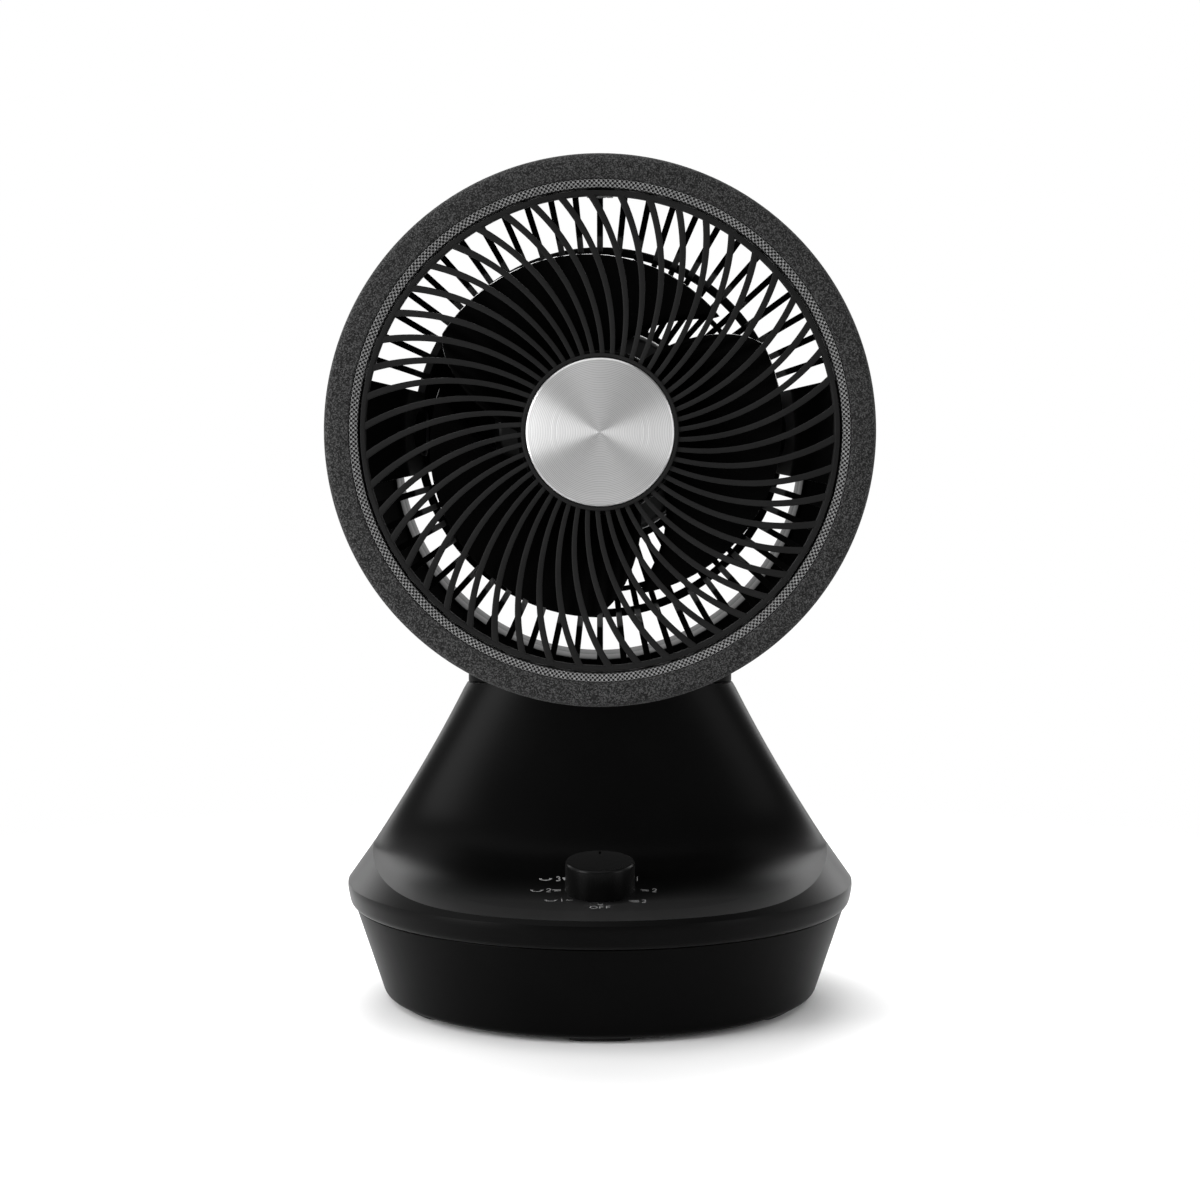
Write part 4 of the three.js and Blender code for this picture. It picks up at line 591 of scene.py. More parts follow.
# each sign is a list of lines in a box 1 wide and 1 high, about its middle
SIGNS = {
    "1": [[(-0.15, 0.3), (0.1, 0.5), (0.1, -0.5)]],
    "2": [arc_points(0, 0.22, 0.45, 0.28, 170, -30) + [(-0.45, -0.5), (0.45, -0.5)]],
    "3": [arc_points(-0.05, 0.25, 0.42, 0.25, 150, -90),
          arc_points(-0.05, -0.25, 0.48, 0.25, 90, -150)],
    "O": [arc_points(0, 0, 0.5, 0.5, 0, 360, 24)],
    "F": [[(-0.4, -0.5), (-0.4, 0.5), (0.45, 0.5)], [(-0.4, 0.02), (0.35, 0.02)]],
    "ring": [arc_points(0, 0, 0.5, 0.5, 0, 360, 16)],
    "swing": [arc_points(0, 0.45, 0.5, 0.8, 200, 340, 16), [(-0.5, 0.32), (-0.48, 0.1), (-0.3, 0.2)],
              [(0.5, 0.32), (0.48, 0.1), (0.3, 0.2)]],
    "wind1": [[(-0.5, 0.1), (0.5, 0.1)]],
    "wind2": [[(-0.5, 0.25), (0.5, 0.25)], [(-0.3, -0.25), (0.5, -0.25)]],
    "wind3": [[(-0.5, 0.4), (0.5, 0.4)], [(-0.4, 0), (0.5, 0)], [(-0.3, -0.4), (0.5, -0.4)]],
}
# sign, middle from the knob's axis to the right and to the back, width, and its height, which
# is drawn out for an eye that looks along the scoop
SCALE = [
    ("ring", 0.2, -15.6, 2.2, 3.6), ("O", -2.9, -22.5, 3.2, 5), ("F", 0.8, -22.5, 2.2, 5),
    ("F", 3.8, -22.5, 2.2, 5),
    ("wind3", 15.4, -9.7, 4.8, 3.4), ("3", 20.1, -9.6, 2, 5),
    ("wind2", 20.7, 7, 3.8, 2.2), ("2", 25.3, 7, 2.1, 3.8),
    ("wind1", 13.2, 17.8, 3.2, 1.2), ("1", 17.4, 17.8, 1.4, 3),
    ("swing", -22.6, -8.2, 5.6, 3.6), ("1", -17.6, -7.9, 1.4, 4.6), ("wind1", -13.9, -8.2, 3, 2.4),
    ("swing", -29.4, 6.8, 5.8, 3), ("2", -23.9, 7.1, 2.1, 3.8), ("wind2", -20.2, 7, 3.8, 2.2),
    ("swing", -25.6, 17.6, 5.8, 2.2), ("3", -19.6, 17.8, 2, 3), ("wind3", -16, 17.8, 3.4, 1.6),
]

scoop = BVHTree.FromObject(cover, bpy.context.evaluated_depsgraph_get())
knob_y = knob_joint["pos_m"][1] / MM


def on_scoop(x, y):
    """A point just proud of the scoop, straight above a place beside the knob's axis."""
    hit = scoop.ray_cast(Vector((x, knob_y + y, ABOVE_SCOOP)) * MM, Vector((0, 0, -1)))[0]
    return hit + Vector((0, 0, INK_PROUD * MM))


form = bmesh.new()
for sign, x, y, width, height in SCALE:
    for line in SIGNS[sign]:
        spots = [Vector((x + u * width, y + v * height)) for u, v in line]
        finer = [spots[0]]
        for a, b in zip(spots, spots[1:]):
            parts = max(1, math.ceil((b - a).length / LINE_STEP))
            finer += [a.lerp(b, k / parts) for k in range(1, parts + 1)]
        edges = []
        for k, spot in enumerate(finer):
            way = (finer[min(k + 1, len(finer) - 1)] - finer[max(k - 1, 0)]).normalized()
            across = Vector((-way.y * STROKE_ACROSS, way.x * STROKE_DEEP)) / 2
            edges.append([form.verts.new(on_scoop(*(spot + side * across))) for side in (1, -1)])
        for (a, b), (c, d) in zip(edges, edges[1:]):
            form.faces.new((a, b, d, c))
for face in form.faces:
    face.normal_update()
    if face.normal.z < 0:
        face.normal_flip()
knob_scale = placed("knob_scale", form)
knob_scale.data.materials.append(printing_ink())
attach(knob_scale, "base")

# ------------------------------------------------------------
# Swing drive. Inside the neck a geared motor turns a nylon pinion against the gear on the yoke's
# hollow steel spindle; a nylon washer lies between the neck and the yoke.

dress(steel, "swing_motor", "swing_motor_screw_1", "swing_motor_screw_2", "swivel_spindle",
      "spindle_clip")
dress(nylon, "swing_pinion", "spindle_gear")
washer = rounded([(11.6, 153.3, 0.2), (26, 153.3, 0.3), (26, 154.2, 0.3), (11.6, 154.2, 0.2)], 3)
piece("neck_washer", turned(washer, UPRIGHT, 96), nylon, "natural_nylon", "base", "swivel_washer")

# ------------------------------------------------------------
# Yoke. A U-shaped arm of two hollow halves in black ABS, front and rear, held by four screws
# from behind; a low oval pedestal under it stands on the neck.

HEAD_Z, ARC_Z = 274, 264  # heights of the tilt axis and of the middle of the yoke's arc
YOKE_INNER, YOKE_OUTER, YOKE_BOTTOM = 97.7, 114, 154.5
YOKE_HALF_DEPTH, ARM_END, PEDESTAL_TOP = 28, 22, 190
ARM_ROWS, ARC_ROWS, PEDESTAL_ROWS = 20, 96, 64
ARM_TIP, PEDESTAL_CHAMFER = 0.8, 0.8
PEDESTAL_HALF_WIDTH, SKIRT_BOTTOM, SKIRT_START = 64.2, 153.35, 30  # the skirt clears the washer
YOKE_SEAM, YOKE_EDGE = 0.15, 3
YOKE_TONGUE, TONGUE_INSET = 0.13, 3  # the front half's tongue, which closes the seam to the eye
YOKE_SCREWS = [math.radians(a) for a in (202, 236, 304, 338)]
YOKE_SCREW_RECESS, YOKE_SCREW_SEAT = 3.9, 18


def arm_half_depth(height):
    """Half the yoke's depth at a height: full in the pedestal, then narrower up the arms."""
    if height <= PEDESTAL_TOP:
        return YOKE_HALF_DEPTH
    if height <= HEAD_Z:
        share = (height - PEDESTAL_TOP) / (HEAD_Z - PEDESTAL_TOP)
        return YOKE_HALF_DEPTH + (ARM_END - YOKE_HALF_DEPTH) * share
    return math.sqrt(max(0, ARM_END ** 2 - (height - HEAD_Z) ** 2))


def yoke_stations():
    """Middle points and outward directions along the U, from one arm's end to the other's."""
    middle = (YOKE_INNER + YOKE_OUTER) / 2
    rises = [ARC_Z + (HEAD_Z + ARM_END - ARC_Z) * math.sin(k / ARM_ROWS * math.pi / 2)
             for k in range(ARM_ROWS + 1)]
    rises[-1] -= 0.05  # the round end of an arm stops just short of nothing
    stations = [((middle, z), (1, 0)) for z in rises[::-1]]
    for k in range(1, ARC_ROWS):
        angle = -math.pi * k / ARC_ROWS
        way = (math.cos(angle), math.sin(angle))
        stations.append(((middle * way[0], ARC_Z + middle * way[1]), way))
    return stations + [((-middle, z), (-1, 0)) for z in rises]


def yoke_half(side):
    """One half of the yoke with its half of the pedestal; side is -1 for the front half."""
    arm = bmesh.new()
    rings = []
    thick = (YOKE_OUTER - YOKE_INNER) / 2
    for (x, z), (out_x, out_z) in yoke_stations():
        deep = max(arm_half_depth(z), ARM_TIP)
        edge = min(YOKE_EDGE, deep * 0.45)
        inset = thick - TONGUE_INSET
        tongue = [] if side > 0 else [(-inset, YOKE_SEAM, 0), (-inset, -YOKE_TONGUE, 0),
                                      (inset, -YOKE_TONGUE, 0), (inset, YOKE_SEAM, 0)]
        section = rounded([(-thick, YOKE_SEAM, 0.12), *tongue, (thick, YOKE_SEAM, 0.12),
                           (thick, deep, edge), (-thick, deep, edge)], 6)
        rings.append([Vector((x + out * out_x, side * y, z + out * out_z)) * MM for out, y in section])
    swept(arm, rings)
    pedestal = bmesh.new()
    seam = YOKE_SEAM if side > 0 else -YOKE_TONGUE
    stations = []
    for k in range(1, PEDESTAL_ROWS):
        angle = math.pi * k / PEDESTAL_ROWS
        x = PEDESTAL_HALF_WIDTH * math.cos(angle)
        deep = YOKE_SEAM + (YOKE_HALF_DEPTH - 0.05 - YOKE_SEAM) * math.sin(angle)
        top = ARC_Z - math.sqrt((YOKE_INNER + 5) ** 2 - x ** 2)  # inside the arm, which it joins
        chamfer = min(PEDESTAL_CHAMFER, deep / 2)
        foot = SKIRT_BOTTOM if abs(x) > SKIRT_START else YOKE_BOTTOM
        stations.append([Vector((x, side * y, z)) * MM for y, z in (
            (seam, foot), (deep - chamfer, foot), (deep, foot + chamfer),
            (deep, top), (seam, top))])
    swept(pedestal, stations)
    below = drum(YOKE_OUTER, ARC_Z - YOKE_OUTER - 30, YOKE_BOTTOM, UPRIGHT)
    return carved(carved(arm, [below]), [pedestal], "UNION")


def behind_yoke(angle):
    """Where a screw of the yoke lies, its axis pointing to the rear."""
    radius = (YOKE_INNER + YOKE_OUTER) / 2
    spot = Vector((radius * math.cos(angle), 0, ARC_Z + radius * math.sin(angle))) * MM
    return Matrix.Translation(spot) @ Matrix.Rotation(-math.pi / 2, 4, "X")


piece("yoke_front_shell", yoke_half(-1), satin_black, "satin_plastic", "yoke", "yoke_front", sharp=30)
wells = [drum(YOKE_SCREW_RECESS, YOKE_SCREW_SEAT, YOKE_HALF_DEPTH + 2, behind_yoke(angle))
         for angle in YOKE_SCREWS]
piece("yoke_rear_shell", carved(yoke_half(1), wells), satin_black, "satin_plastic", "yoke",
      "yoke_rear", sharp=30)
dress(steel, *[f"yoke_screw_{i}" for i in range(1, 5)])

# ------------------------------------------------------------
# Tilt pivots. A steel pin on each side of the head turns in a nylon bush in the yoke's arm and
# is held by a nut inside the arm.

for hand in ("left", "right"):
    dress(nylon, f"tilt_bush_{hand}")
    dress(steel, f"tilt_pin_{hand}", f"tilt_nut_{hand}")

# ------------------------------------------------------------
# Ring. A moulded carrier wrapped in heathered grey woven polyester, which is stretched over its
# front and its side and turned in at both edges.

RING_RADIUS, HEAD_FRONT, HEAD_BACK = 125, 81, 47
FABRIC_INNER, TRIM_INNER, CLOTH, TURNED_IN = 113.4, 109.5, 1, 2
HEAD = Matrix.Translation((0, 0, HEAD_Z * MM)) @ Matrix.Rotation(-math.pi / 2, 4, "X")
THREAD = 0.5  # the real threads are about 0.4 mm, drawn coarser so that they show
WAVE = 0.314  # how far apart a Wave node's bands are at a scale of 1


def heathered_cloth():
    """Woven polyester of dark and light grey yarns: a speckled, slightly fuzzy matt surface."""
    made, tree, place = blank_material("heathered_woven_polyester", "UV")
    drift = add_node(tree, "TexNoise", {"Scale": 0.12, "Detail": 3}, {"Vector": place})
    yarn = add_node(tree, "TexNoise",
                    {"Scale": 1 / THREAD, "Detail": 3, "Roughness": 0.7, "Distortion": 0.6},
                    {"Vector": place})
    stitch = add_node(tree, "TexVoronoi", {"Scale": 1 / THREAD}, {"Vector": place},
                      voronoi_dimensions="2D")
    speck = add_node(tree, "SeparateColor", None, {"Color": stitch.outputs["Color"]})
    mixed = add_node(tree, "Mix", {0: 0.6}, {2: yarn.outputs["Fac"], 3: speck.outputs[0]})
    blend = add_node(tree, "Mix", {0: 0.08}, {2: mixed.outputs[0], 3: drift.outputs["Fac"]})
    tint = add_node(tree, "ValToRGB", None, {"Fac": blend.outputs[0]},
                    [(0.2, "#131313"), (0.85, "#545454"), (0.5, "#282828")])
    weft = add_node(tree, "TexWave", {"Scale": WAVE / THREAD, "Distortion": 1.5},
                    {"Vector": place}, bands_direction="Y")
    warp = add_node(tree, "TexWave", {"Scale": WAVE / THREAD, "Distortion": 1.5},
                    {"Vector": place}, bands_direction="X")
    weave = add_node(tree, "Math", None,
                     {0: weft.outputs["Fac"], 1: warp.outputs["Fac"]}, operation="MULTIPLY")
    relief = add_node(tree, "Bump", {"Strength": 0.5, "Distance": 0.2 * MM},
                      {"Height": weave.outputs[0]})
    skin = add_node(tree, "BsdfPrincipled",
                    {"Roughness": 0.95, "Specular IOR Level": 0.1, "Sheen Weight": 0.05,
                     "Sheen Roughness": 0.5},
                    {"Base Color": tint.outputs["Color"], "Normal": relief.outputs["Normal"]})
    add_node(tree, "OutputMaterial", None, {"Surface": skin.outputs[0]})
    return made


dress(matt_black, "ring_frame")
outline = rounded([
    (FABRIC_INNER, -HEAD_FRONT + TURNED_IN, 0), (FABRIC_INNER, -HEAD_FRONT, 0.8),
    (RING_RADIUS, -HEAD_FRONT, 4.5), (RING_RADIUS, -HEAD_BACK - 0.6, 1.5),
    (RING_RADIUS - TURNED_IN, -HEAD_BACK - 0.6, 0), (RING_RADIUS - TURNED_IN, -HEAD_BACK - 1.6, 0),
    (RING_RADIUS - CLOTH, -HEAD_BACK - 1.6, 0.5), (RING_RADIUS - CLOTH, -HEAD_FRONT + CLOTH, 3.5),
    (FABRIC_INNER + CLOTH, -HEAD_FRONT + CLOTH, 0), (FABRIC_INNER + CLOTH, -HEAD_FRONT + TURNED_IN, 0),
], 8)
cloth = piece("ring_cloth", turned(outline, HEAD, 256), heathered_cloth(), "fabric_mesh", "head",
              "fabric_ring", sharp=50)

# ------------------------------------------------------------
# Trim. A coarse woven band of black and light grey cord, a few stitches wide, glued round the
# inner edge of the fabric and sloping in to the grille.

STITCH = 1.05  # the side of a stitch
TRIM_STEP = 0.2  # how far its edge lies inside the fabric's


def checked_braid():
    """Black and light grey cord woven over and under: a checker of raised stitches."""
    made, tree, place = blank_material("checked_braid", "UV")
    check = add_node(tree, "TexChecker", {"Scale": 1 / STITCH}, {"Vector": place})
    fuzz = add_node(tree, "TexNoise", {"Scale": 1.6, "Detail": 3}, {"Vector": place})
    light = add_node(tree, "ValToRGB", None, {"Fac": fuzz.outputs["Fac"]},
                     [(0.3, "#3c3c3c"), (0.65, "#989898")])
    dark = add_node(tree, "ValToRGB", None, {"Fac": fuzz.outputs["Fac"]},
                    [(0.3, "#020202"), (0.7, "#080808")])
    tint = add_node(tree, "Mix", None,
                    {0: check.outputs["Fac"], 6: dark.outputs["Color"], 7: light.outputs["Color"]},
                    data_type="RGBA")
    bead = add_node(tree, "TexVoronoi", {"Scale": 1 / STITCH, "Randomness": 0},
                    {"Vector": place}, voronoi_dimensions="2D")
    relief = add_node(tree, "Bump", {"Strength": 0.8, "Distance": 0.5 * MM},
                      {"Height": bead.outputs["Distance"]}, invert=True)
    skin = add_node(tree, "BsdfPrincipled", {"Roughness": 0.85, "Specular IOR Level": 0.2},
                    {"Base Color": tint.outputs[2], "Normal": relief.outputs["Normal"]})
    add_node(tree, "OutputMaterial", None, {"Surface": skin.outputs[0]})
    return made


outline = rounded([
    (TRIM_INNER, -HEAD_FRONT + 2, 0), (TRIM_INNER, -HEAD_FRONT + 1.2, 0.3),
    (FABRIC_INNER - TRIM_STEP, -HEAD_FRONT + 0.1, 0.5), (FABRIC_INNER - TRIM_STEP, -HEAD_FRONT + 2, 0),
], 4)
piece("trim_braid", turned(outline, HEAD, 256), checked_braid(), "trim_weave", "head", "trim_band",
      sharp=60)

# ------------------------------------------------------------
# Front grille. One moulding in black ABS: a rim, fifty curved ribs with rounded fronts, and the
# cup in the middle that holds the badge.

GRILLE_RADIUS, GRILLE_RIM, GRILLE_SKIRT, GRILLE_FRONT = 108.4, 2.4, 13, 79.5
RIBS, RIB_NARROW, RIB_WIDTH, RIB_DEPTH, RIB_STEPS = 50, 2.2, 3.2, 5.5, 24  # widths at cup and rim
ARC_RADIUS, ARC_CENTRE, FIRST_RIB = 97.9, 101.2, math.radians(1.65)
BADGE_RADIUS, CUP_RADIUS, CUP_WALL = 33.6, 35.5, 1.6
RIB_START = CUP_RADIUS - 0.8


def rib_angle(radius):
    """Polar angle of a rib's centre line, from its hub end."""
    offset = ARC_CENTRE ** 2 - ARC_RADIUS ** 2
    bend = [math.acos((r * r + offset) / (2 * r * ARC_CENTRE)) for r in (BADGE_RADIUS, radius)]
    return bend[0] - bend[1]


def rib_lean(radius):
    """How far a rib leans from the radial direction."""
    offset = ARC_CENTRE ** 2 - ARC_RADIUS ** 2
    return math.asin((radius ** 2 - offset) / (2 * radius * ARC_RADIUS))


form = turned(rounded([
    (GRILLE_RADIUS - GRILLE_RIM, -GRILLE_FRONT + RIB_DEPTH, 0),
    (GRILLE_RADIUS - GRILLE_RIM, -GRILLE_FRONT, 0.7), (GRILLE_RADIUS, -GRILLE_FRONT, 0.5),
    (GRILLE_RADIUS, -GRILLE_FRONT + GRILLE_SKIRT, 0),
    (GRILLE_RADIUS - GRILLE_RIM / 2, -GRILLE_FRONT + GRILLE_SKIRT, 0),
    (GRILLE_RADIUS - GRILLE_RIM / 2, -GRILLE_FRONT + RIB_DEPTH, 0),
], 5), HEAD, 200)
turned(rounded([
    (0, -GRILLE_FRONT + RIB_DEPTH, 0), (CUP_RADIUS, -GRILLE_FRONT + RIB_DEPTH, 0.6),
    (CUP_RADIUS, -GRILLE_FRONT - 0.7, 0.5), (CUP_RADIUS - CUP_WALL, -GRILLE_FRONT - 0.7, 0.3),
    (CUP_RADIUS - CUP_WALL, -GRILLE_FRONT + 2.5, 0), (0, -GRILLE_FRONT + 2.5, 0),
], 5), HEAD, 200, form)
rib_section = rounded([
    (-1, -GRILLE_FRONT + 0.15, 0.55), (1, -GRILLE_FRONT + 0.15, 0.55),
    (0.85, -GRILLE_FRONT + RIB_DEPTH, 0.2), (-0.85, -GRILLE_FRONT + RIB_DEPTH, 0.2),
], 4)
for i in range(RIBS):
    stations = []
    for k in range(RIB_STEPS + 1):
        radius = RIB_START + (GRILLE_RADIUS - GRILLE_RIM / 2 - RIB_START) * k / RIB_STEPS
        angle = FIRST_RIB + 2 * math.pi * i / RIBS + rib_angle(radius)
        across = angle + rib_lean(radius) + math.pi / 2
        half = (RIB_NARROW + (RIB_WIDTH - RIB_NARROW) * k / RIB_STEPS) / 2
        stations.append([
            Vector((radius * math.cos(angle) + u * half * math.cos(across), y,
                    HEAD_Z + radius * math.sin(angle) + u * half * math.sin(across))) * MM
            for u, y in rib_section])
    swept(form, stations)
grille_abs = moulded_abs("satin_black_grille_abs", "#1c1c1c", "#222222", roughness=0.5, grain_mm=0.6,
                         grain_depth=0.02, reflection=0.03, bloom=0)
piece("front_grille_ribs", form, grille_abs, "satin_plastic", "head", "front_grille", sharp=32)

# ------------------------------------------------------------
# Badge. A disc of aluminium, spun and then turned with fine concentric lines, with a bright
# diamond-cut bevel round it; it is pressed into the grille's cup.

TOOL_MARKS = 0.75  # about 0.2 mm apart on a real disc, and drawn coarser so that they show


def spun_aluminium():
    """Spun aluminium: fine concentric lines that fan the light out in bright and grey sectors."""
    made, tree, place = blank_material("spun_aluminium")
    flat = add_node(tree, "VectorMath", {1: (1, 0, 1)}, {0: place}, operation="MULTIPLY")
    arm = add_node(tree, "VectorMath", {1: (0, 0, HEAD_Z * MM)},
                   {0: flat.outputs[0]}, operation="SUBTRACT")
    radius = add_node(tree, "VectorMath", None, {0: arm.outputs[0]}, operation="LENGTH")
    turns = add_node(tree, "Math", {1: 2 * math.pi / (TOOL_MARKS * MM)},
                     {0: radius.outputs["Value"]}, operation="MULTIPLY")
    groove = add_node(tree, "Math", None, {0: turns.outputs[0]}, operation="SINE")
    uneven = add_node(tree, "TexNoise", {"Scale": 700, "Detail": 2},
                      {"W": radius.outputs["Value"]}, noise_dimensions="1D")
    lines = add_node(tree, "Math", None,
                     {0: groove.outputs[0], 1: uneven.outputs["Fac"]}, operation="MULTIPLY")
    tint = add_node(tree, "MapRange", {"From Min": -0.6, "From Max": 0.6},
                    {"Value": lines.outputs[0]})
    tone = add_node(tree, "ValToRGB", None, {"Fac": tint.outputs[0]},
                    [(0, "#c6c6c6"), (1, "#f2f2f2")])
    polish = add_node(tree, "MapRange", {"To Min": 0.3, "To Max": 0.36},
                      {"Value": uneven.outputs["Fac"]})
    relief = add_node(tree, "Bump", {"Strength": 0.1, "Distance": 0.05 * MM},
                      {"Height": lines.outputs[0]})
    grain = add_node(tree, "Tangent", direction_type="RADIAL", axis="Y")
    skin = add_node(tree, "BsdfPrincipled",
                    {"Metallic": 1, "Anisotropic": 0.9, "Anisotropic Rotation": 0.25},
                    {"Base Color": tone.outputs["Color"], "Roughness": polish.outputs[0],
                     "Normal": relief.outputs["Normal"], "Tangent": grain.outputs["Tangent"]})
    add_node(tree, "OutputMaterial", None, {"Surface": skin.outputs[0]})
    return made


outline = rounded([
    (0, -HEAD_FRONT + 3.7, 0), (BADGE_RADIUS, -HEAD_FRONT + 3.7, 0),
    (BADGE_RADIUS, -HEAD_FRONT + 1.3, 0.1), (BADGE_RADIUS - 0.9, -HEAD_FRONT + 0.4, 0.1),
    (0, -HEAD_FRONT + 0.4, 0),
], 2)
piece("badge_disc", turned(outline, HEAD, 256), spun_aluminium(), "spun_aluminium", "head", "badge",
      sharp=20)

# ------------------------------------------------------------
# Grille clip. A small light grey tab behind the top of the grille, moulded with a shallow grip
# and a rounded front edge, that keeps the grille from turning out of its catch.

TAB_STEPS, GRIP_DEPTH = 24, 0.25
low, high = (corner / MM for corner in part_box("grille_clip"))
section = rounded([(low.y, low.z, 0.5), (high.y, low.z, 0.3), (high.y, high.z, 0.2),
                   (low.y, high.z, 0.5)], 4)
form = bmesh.new()
stations = []
for k in range(TAB_STEPS + 1):
    x = low.x + (high.x - low.x) * k / TAB_STEPS
    grip = GRIP_DEPTH * (k % 4 == 2 and 3 < k < TAB_STEPS - 3)
    shrink = 0.4 if k in (0, TAB_STEPS) else 0
    stations.append([Vector((x, y + shrink * (1 if y < (low.y + high.y) / 2 else -1),
                             z + (grip if z < (low.z + high.z) / 2 else -shrink / 2))) * MM
                     for y, z in section])
swept(form, stations)
clip_plastic = moulded_plastic("light_grey_clip_plastic", "#a2a3a3", "#b4b5b5", 0.45)
piece("grille_tab", form, clip_plastic, "light_plastic", "head", "grille_clip")

# ------------------------------------------------------------
# Rear grille. The back of the head, one moulding in black ABS: a flat rim, fifty straight ribs
# down a bowl, two hoops across them, a solid panel at each pivot and the motor's plate.

REAR_PLACES, REAR_WIDTH, REAR_SHELL = 60, 2.9, 3.4  # ribs at all of them but those at the panels
REAR_RIM, RIM_THICK, BOWL_MOUTH, PANEL = 120.2, 2.2, 113, math.radians(12.8)
PANEL_STEPS, WEB_STEPS = 16, 12
WEB, WEB_EDGE = math.radians(17), -12  # a closed part of the bowl above the left pivot
PLATE_RADIUS, PLATE_BACK, PLATE = 56, 37.4, 3
HOOPS = ((90.1, 4.1, 7), (78.6, 2.5, 17.4))  # outer radius, width, and how far back
HOOP_DEPTH = 2.4
bowl = rounded([(BOWL_MOUTH, -46.7, 0), (95.6, -30, 7), (90, 8, 16), (55, PLATE_BACK, 0)], 8)


def inward(points):
    """The same outline moved in by the thickness of the bowl."""
    moved = []
    for k, (r, y) in enumerate(points):
        r0, y0 = points[max(k - 1, 0)]
        r1, y1 = points[min(k + 1, len(points) - 1)]
        length = math.hypot(r1 - r0, y1 - y0)
        moved.append((r - REAR_SHELL * (y1 - y0) / length, y + REAR_SHELL * (r1 - r0) / length))
    return moved


def at_angle(radius, angle, y, across=0):
    """A point of the head at a polar angle, moved across by some millimetres, in metres."""
    return Vector((radius * math.cos(angle) - across * math.sin(angle), y,
                   HEAD_Z + radius * math.sin(angle) + across * math.cos(angle))) * MM


inner_bowl = inward(bowl)
form = turned(rounded([
    (BOWL_MOUTH - REAR_SHELL, -HEAD_BACK, 0.4), (REAR_RIM, -HEAD_BACK, 0.8),
    (REAR_RIM, -HEAD_BACK - RIM_THICK, 0.4), (BOWL_MOUTH - REAR_SHELL, -HEAD_BACK - RIM_THICK, 0.4),
], 4), HEAD, 240)
for i in range(REAR_PLACES):
    angle = 2 * math.pi * i / REAR_PLACES
    if abs(math.asin(math.sin(angle))) <= PANEL:
        continue
    stations = []
    for (r_out, y_out), (r_in, y_in) in zip(bowl, inner_bowl):
        ring = []
        for u, v in rounded([(-REAR_WIDTH / 2, 0, 0.8), (REAR_WIDTH / 2, 0, 0.8),
                             (REAR_WIDTH / 2, 1, 0), (-REAR_WIDTH / 2, 1, 0)], 3):
            inside = v if v == 1 else v / REAR_SHELL
            ring.append(at_angle(r_out + (r_in - r_out) * inside, angle,
                                 y_out + (y_in - y_out) * inside, u))
        stations.append(ring)
    swept(form, stations)
for hand in (0, math.pi):
    stations = []
    for k in range(PANEL_STEPS + 1):
        angle = hand + PANEL * (2 * k / PANEL_STEPS - 1)
        stations.append([at_angle(r, angle, y) for r, y in bowl + inner_bowl[::-1]])
    swept(form, stations)
wall = [(r, y) for r, y in bowl + inner_bowl[::-1] if y > WEB_EDGE]
stations = []
for k in range(WEB_STEPS + 1):
    angle = math.pi - PANEL - WEB * k / WEB_STEPS
    stations.append([at_angle(r, angle, y) for r, y in wall])
swept(form, stations)
for radius, width, y in HOOPS:
    turned(rounded([(radius - width, y - HOOP_DEPTH, 0.5), (radius, y - HOOP_DEPTH, 0.5),
                    (radius, y, 0.4), (radius - width, y, 0.4)], 3), HEAD, 240, form)
recess = PLATE_BACK - 0.8
turned(rounded([
    (0, PLATE_BACK - PLATE, 0), (PLATE_RADIUS, PLATE_BACK - PLATE, 0.4),
    (PLATE_RADIUS, PLATE_BACK, 1.2), (46, PLATE_BACK, 0.3), (45, recess, 0.3), (20, recess, 0.3),
    (19, PLATE_BACK, 0.3), (0, PLATE_BACK, 0)], 4), HEAD, 192, form)
for hand in (-1, 1):
    pivot = Matrix.Translation((0, 0, HEAD_Z * MM)) @ Matrix.Rotation(hand * math.pi / 2, 4, "Y")
    boss = rounded([(0, 83.7, 0), (11, 83.7, 0.6), (11, 96.8, 0.6), (5.3, 96.8, 0), (5.3, 86.4, 0),
                    (0, 86.4, 0)], 4)
    turned(boss, pivot, 48, form)
rear_abs = moulded_abs("satin_black_rear_abs", "#070707", "#0b0b0b", roughness=0.45, grain_mm=0.6,
                       grain_depth=0.02, reflection=0.05, bloom=0.1)
piece("rear_grille_bowl", form, rear_abs, "satin_plastic", "head", "rear_grille", sharp=32)

# ------------------------------------------------------------
# Fan motor. A capacitor-run motor behind the hub under a satin black moulded housing, held to
# the rear grille's plate by four screws.

CAP_RADIUS, CAP_WALL, CAP_FRONT, CAP_BACK = 50, 2, -28, 34.1
housing = rounded([
    (CAP_RADIUS, CAP_BACK, 0.5), (CAP_RADIUS, CAP_FRONT, 4), (6.2, CAP_FRONT, 0.4),
    (5.2, CAP_FRONT + CAP_WALL, 0), (CAP_RADIUS - CAP_WALL, CAP_FRONT + CAP_WALL, 3),
    (CAP_RADIUS - CAP_WALL, CAP_BACK, 0.3),
], 6)
housing_black = moulded_plastic("satin_black_housing_plastic", "#0a0a0a", "#0f0f0f", 0.3)
piece("motor_cap", turned(housing, HEAD, 160), housing_black, "matt_plastic", "head", "motor_housing")
dress(steel, "fan_motor", "motor_shaft", *[f"motor_screw_{i}" for i in range(1, 5)])

# ------------------------------------------------------------
# Impeller. Three broad twisted blades and a cupped hub, one moulding in glossy black AS plastic,
# held on the shaft by a moulded nut.

TIP, HUB, HUB_FRONT, HUB_DEPTH, HUB_WALL, BLADE = 85, 38, 66, 28, 2.4, 2
BOSS, SHAFT_HOLE = 9, 4.3
BLADE_START, BLADE_SPAN, ROOT_SHARE = math.radians(82.4), math.radians(109.4), 0.896
LEAD_SHARE, BLADE_DRAG, BLADE_PITCH, BLADE_BELLY = 0.912, math.radians(41), 24, 3
CHORD, REACH, NUDGE = 56, 22, 0.01  # steps across and along a blade, and a small one for its slope


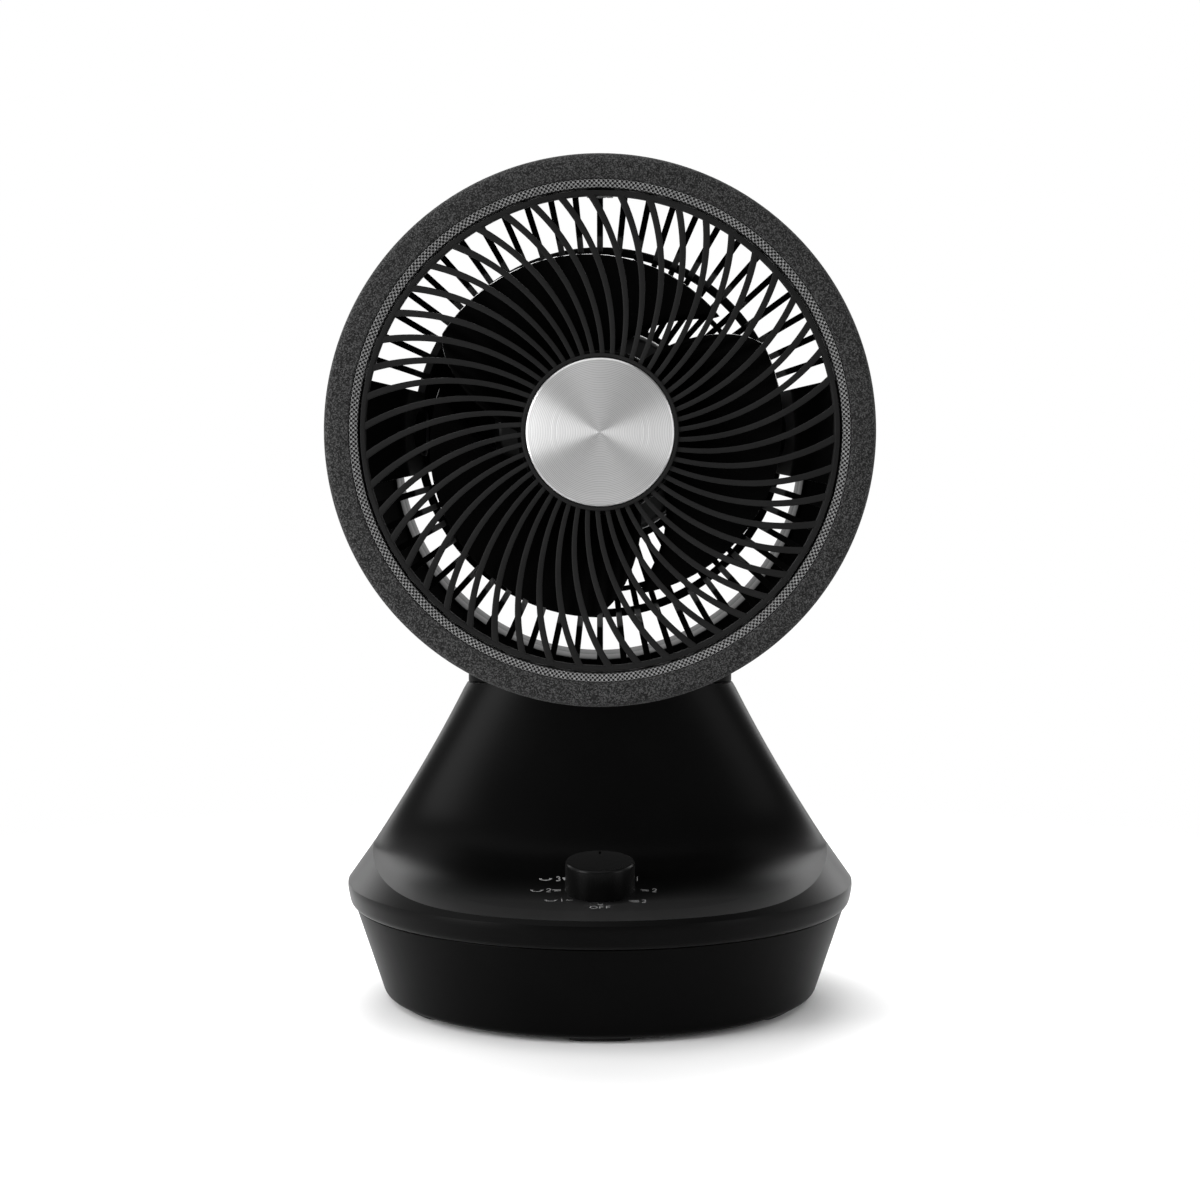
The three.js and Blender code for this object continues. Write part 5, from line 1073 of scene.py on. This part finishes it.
def blade_point(start, outward, along):
    """A point of a blade's middle surface, from hub to tip and from trailing to leading edge."""
    lead = LEAD_SHARE + (1 - LEAD_SHARE) * math.sin(along * math.pi / 2)
    root = HUB - HUB_WALL
    radius = root + outward * (TIP * lead - root)
    span = BLADE_SPAN * (ROOT_SHARE + (1 - ROOT_SHARE) * outward)
    angle = start - BLADE_DRAG * outward + along * span
    pitch = BLADE_PITCH * (0.5 - along) + BLADE_BELLY * math.sin(math.pi * along)
    return at_angle(radius, angle, -HUB_FRONT + HUB_DEPTH / 2 + pitch)


form = turned(rounded([
    (SHAFT_HOLE, -HUB_FRONT, 0), (HUB, -HUB_FRONT, 4), (HUB, -HUB_FRONT + HUB_DEPTH, 0.6),
    (HUB - HUB_WALL, -HUB_FRONT + HUB_DEPTH, 0.6), (HUB - HUB_WALL, -HUB_FRONT + HUB_WALL, 3),
    (BOSS, -HUB_FRONT + HUB_WALL, 0.5), (BOSS, -HUB_FRONT + HUB_DEPTH, 0.5),
    (SHAFT_HOLE, -HUB_FRONT + HUB_DEPTH, 0),
], 6), HEAD, 128)
for blade in range(3):
    start = BLADE_START + 2 * math.pi * blade / 3
    stations = []
    for i in range(REACH + 1):
        outward = math.sin(i / REACH * math.pi / 2)
        taper = math.sqrt(max(0.06, 1 - (i / REACH) ** 30))  # thinner at the very tip
        narrow = 1 - 0.05 * outward ** 12  # with its corners rounded off
        faces = ([], [])
        for j in range(CHORD + 1):
            share = 0.5 - 0.5 * math.cos(j / CHORD * math.pi)
            along = 0.5 + (share - 0.5) * narrow
            here = blade_point(start, outward, along)
            out = (blade_point(start, min(outward + NUDGE, 1), along)
                   - blade_point(start, outward - NUDGE, along))
            forth = (blade_point(start, outward, along + NUDGE)
                     - blade_point(start, outward, along - NUDGE))
            edge = math.sqrt(max(0.05, 1 - abs(2 * share - 1) ** 24))
            half = out.cross(forth).normalized() * (BLADE / 2 * MM * edge * taper)
            faces[0].append(here + half)
            faces[1].append(here - half)
        stations.append(faces[0] + faces[1][::-1])
    swept(form, stations)


def glossy_as():
    """Black AS plastic from a polished mould: a deep, wet-looking black with faint ripples."""
    made, tree, place = blank_material("gloss_black_as")
    ripple = add_node(tree, "TexNoise", {"Scale": 60, "Detail": 2}, {"Vector": place})
    tint = add_node(tree, "ValToRGB", None, {"Fac": ripple.outputs["Fac"]},
                    [(0.3, "#040404"), (0.7, "#060606")])
    polish = add_node(tree, "MapRange", {"To Min": 0.22, "To Max": 0.3},
                      {"Value": ripple.outputs["Fac"]})
    skin = add_node(tree, "BsdfPrincipled", {"Specular IOR Level": 0.06},
                    {"Base Color": tint.outputs["Color"], "Roughness": polish.outputs[0]})
    add_node(tree, "OutputMaterial", None, {"Surface": skin.outputs[0]})
    return made


piece("impeller_blades", form, glossy_as(), "gloss_plastic", "impeller", "impeller", sharp=40)
dress(matt_black, "impeller_nut")
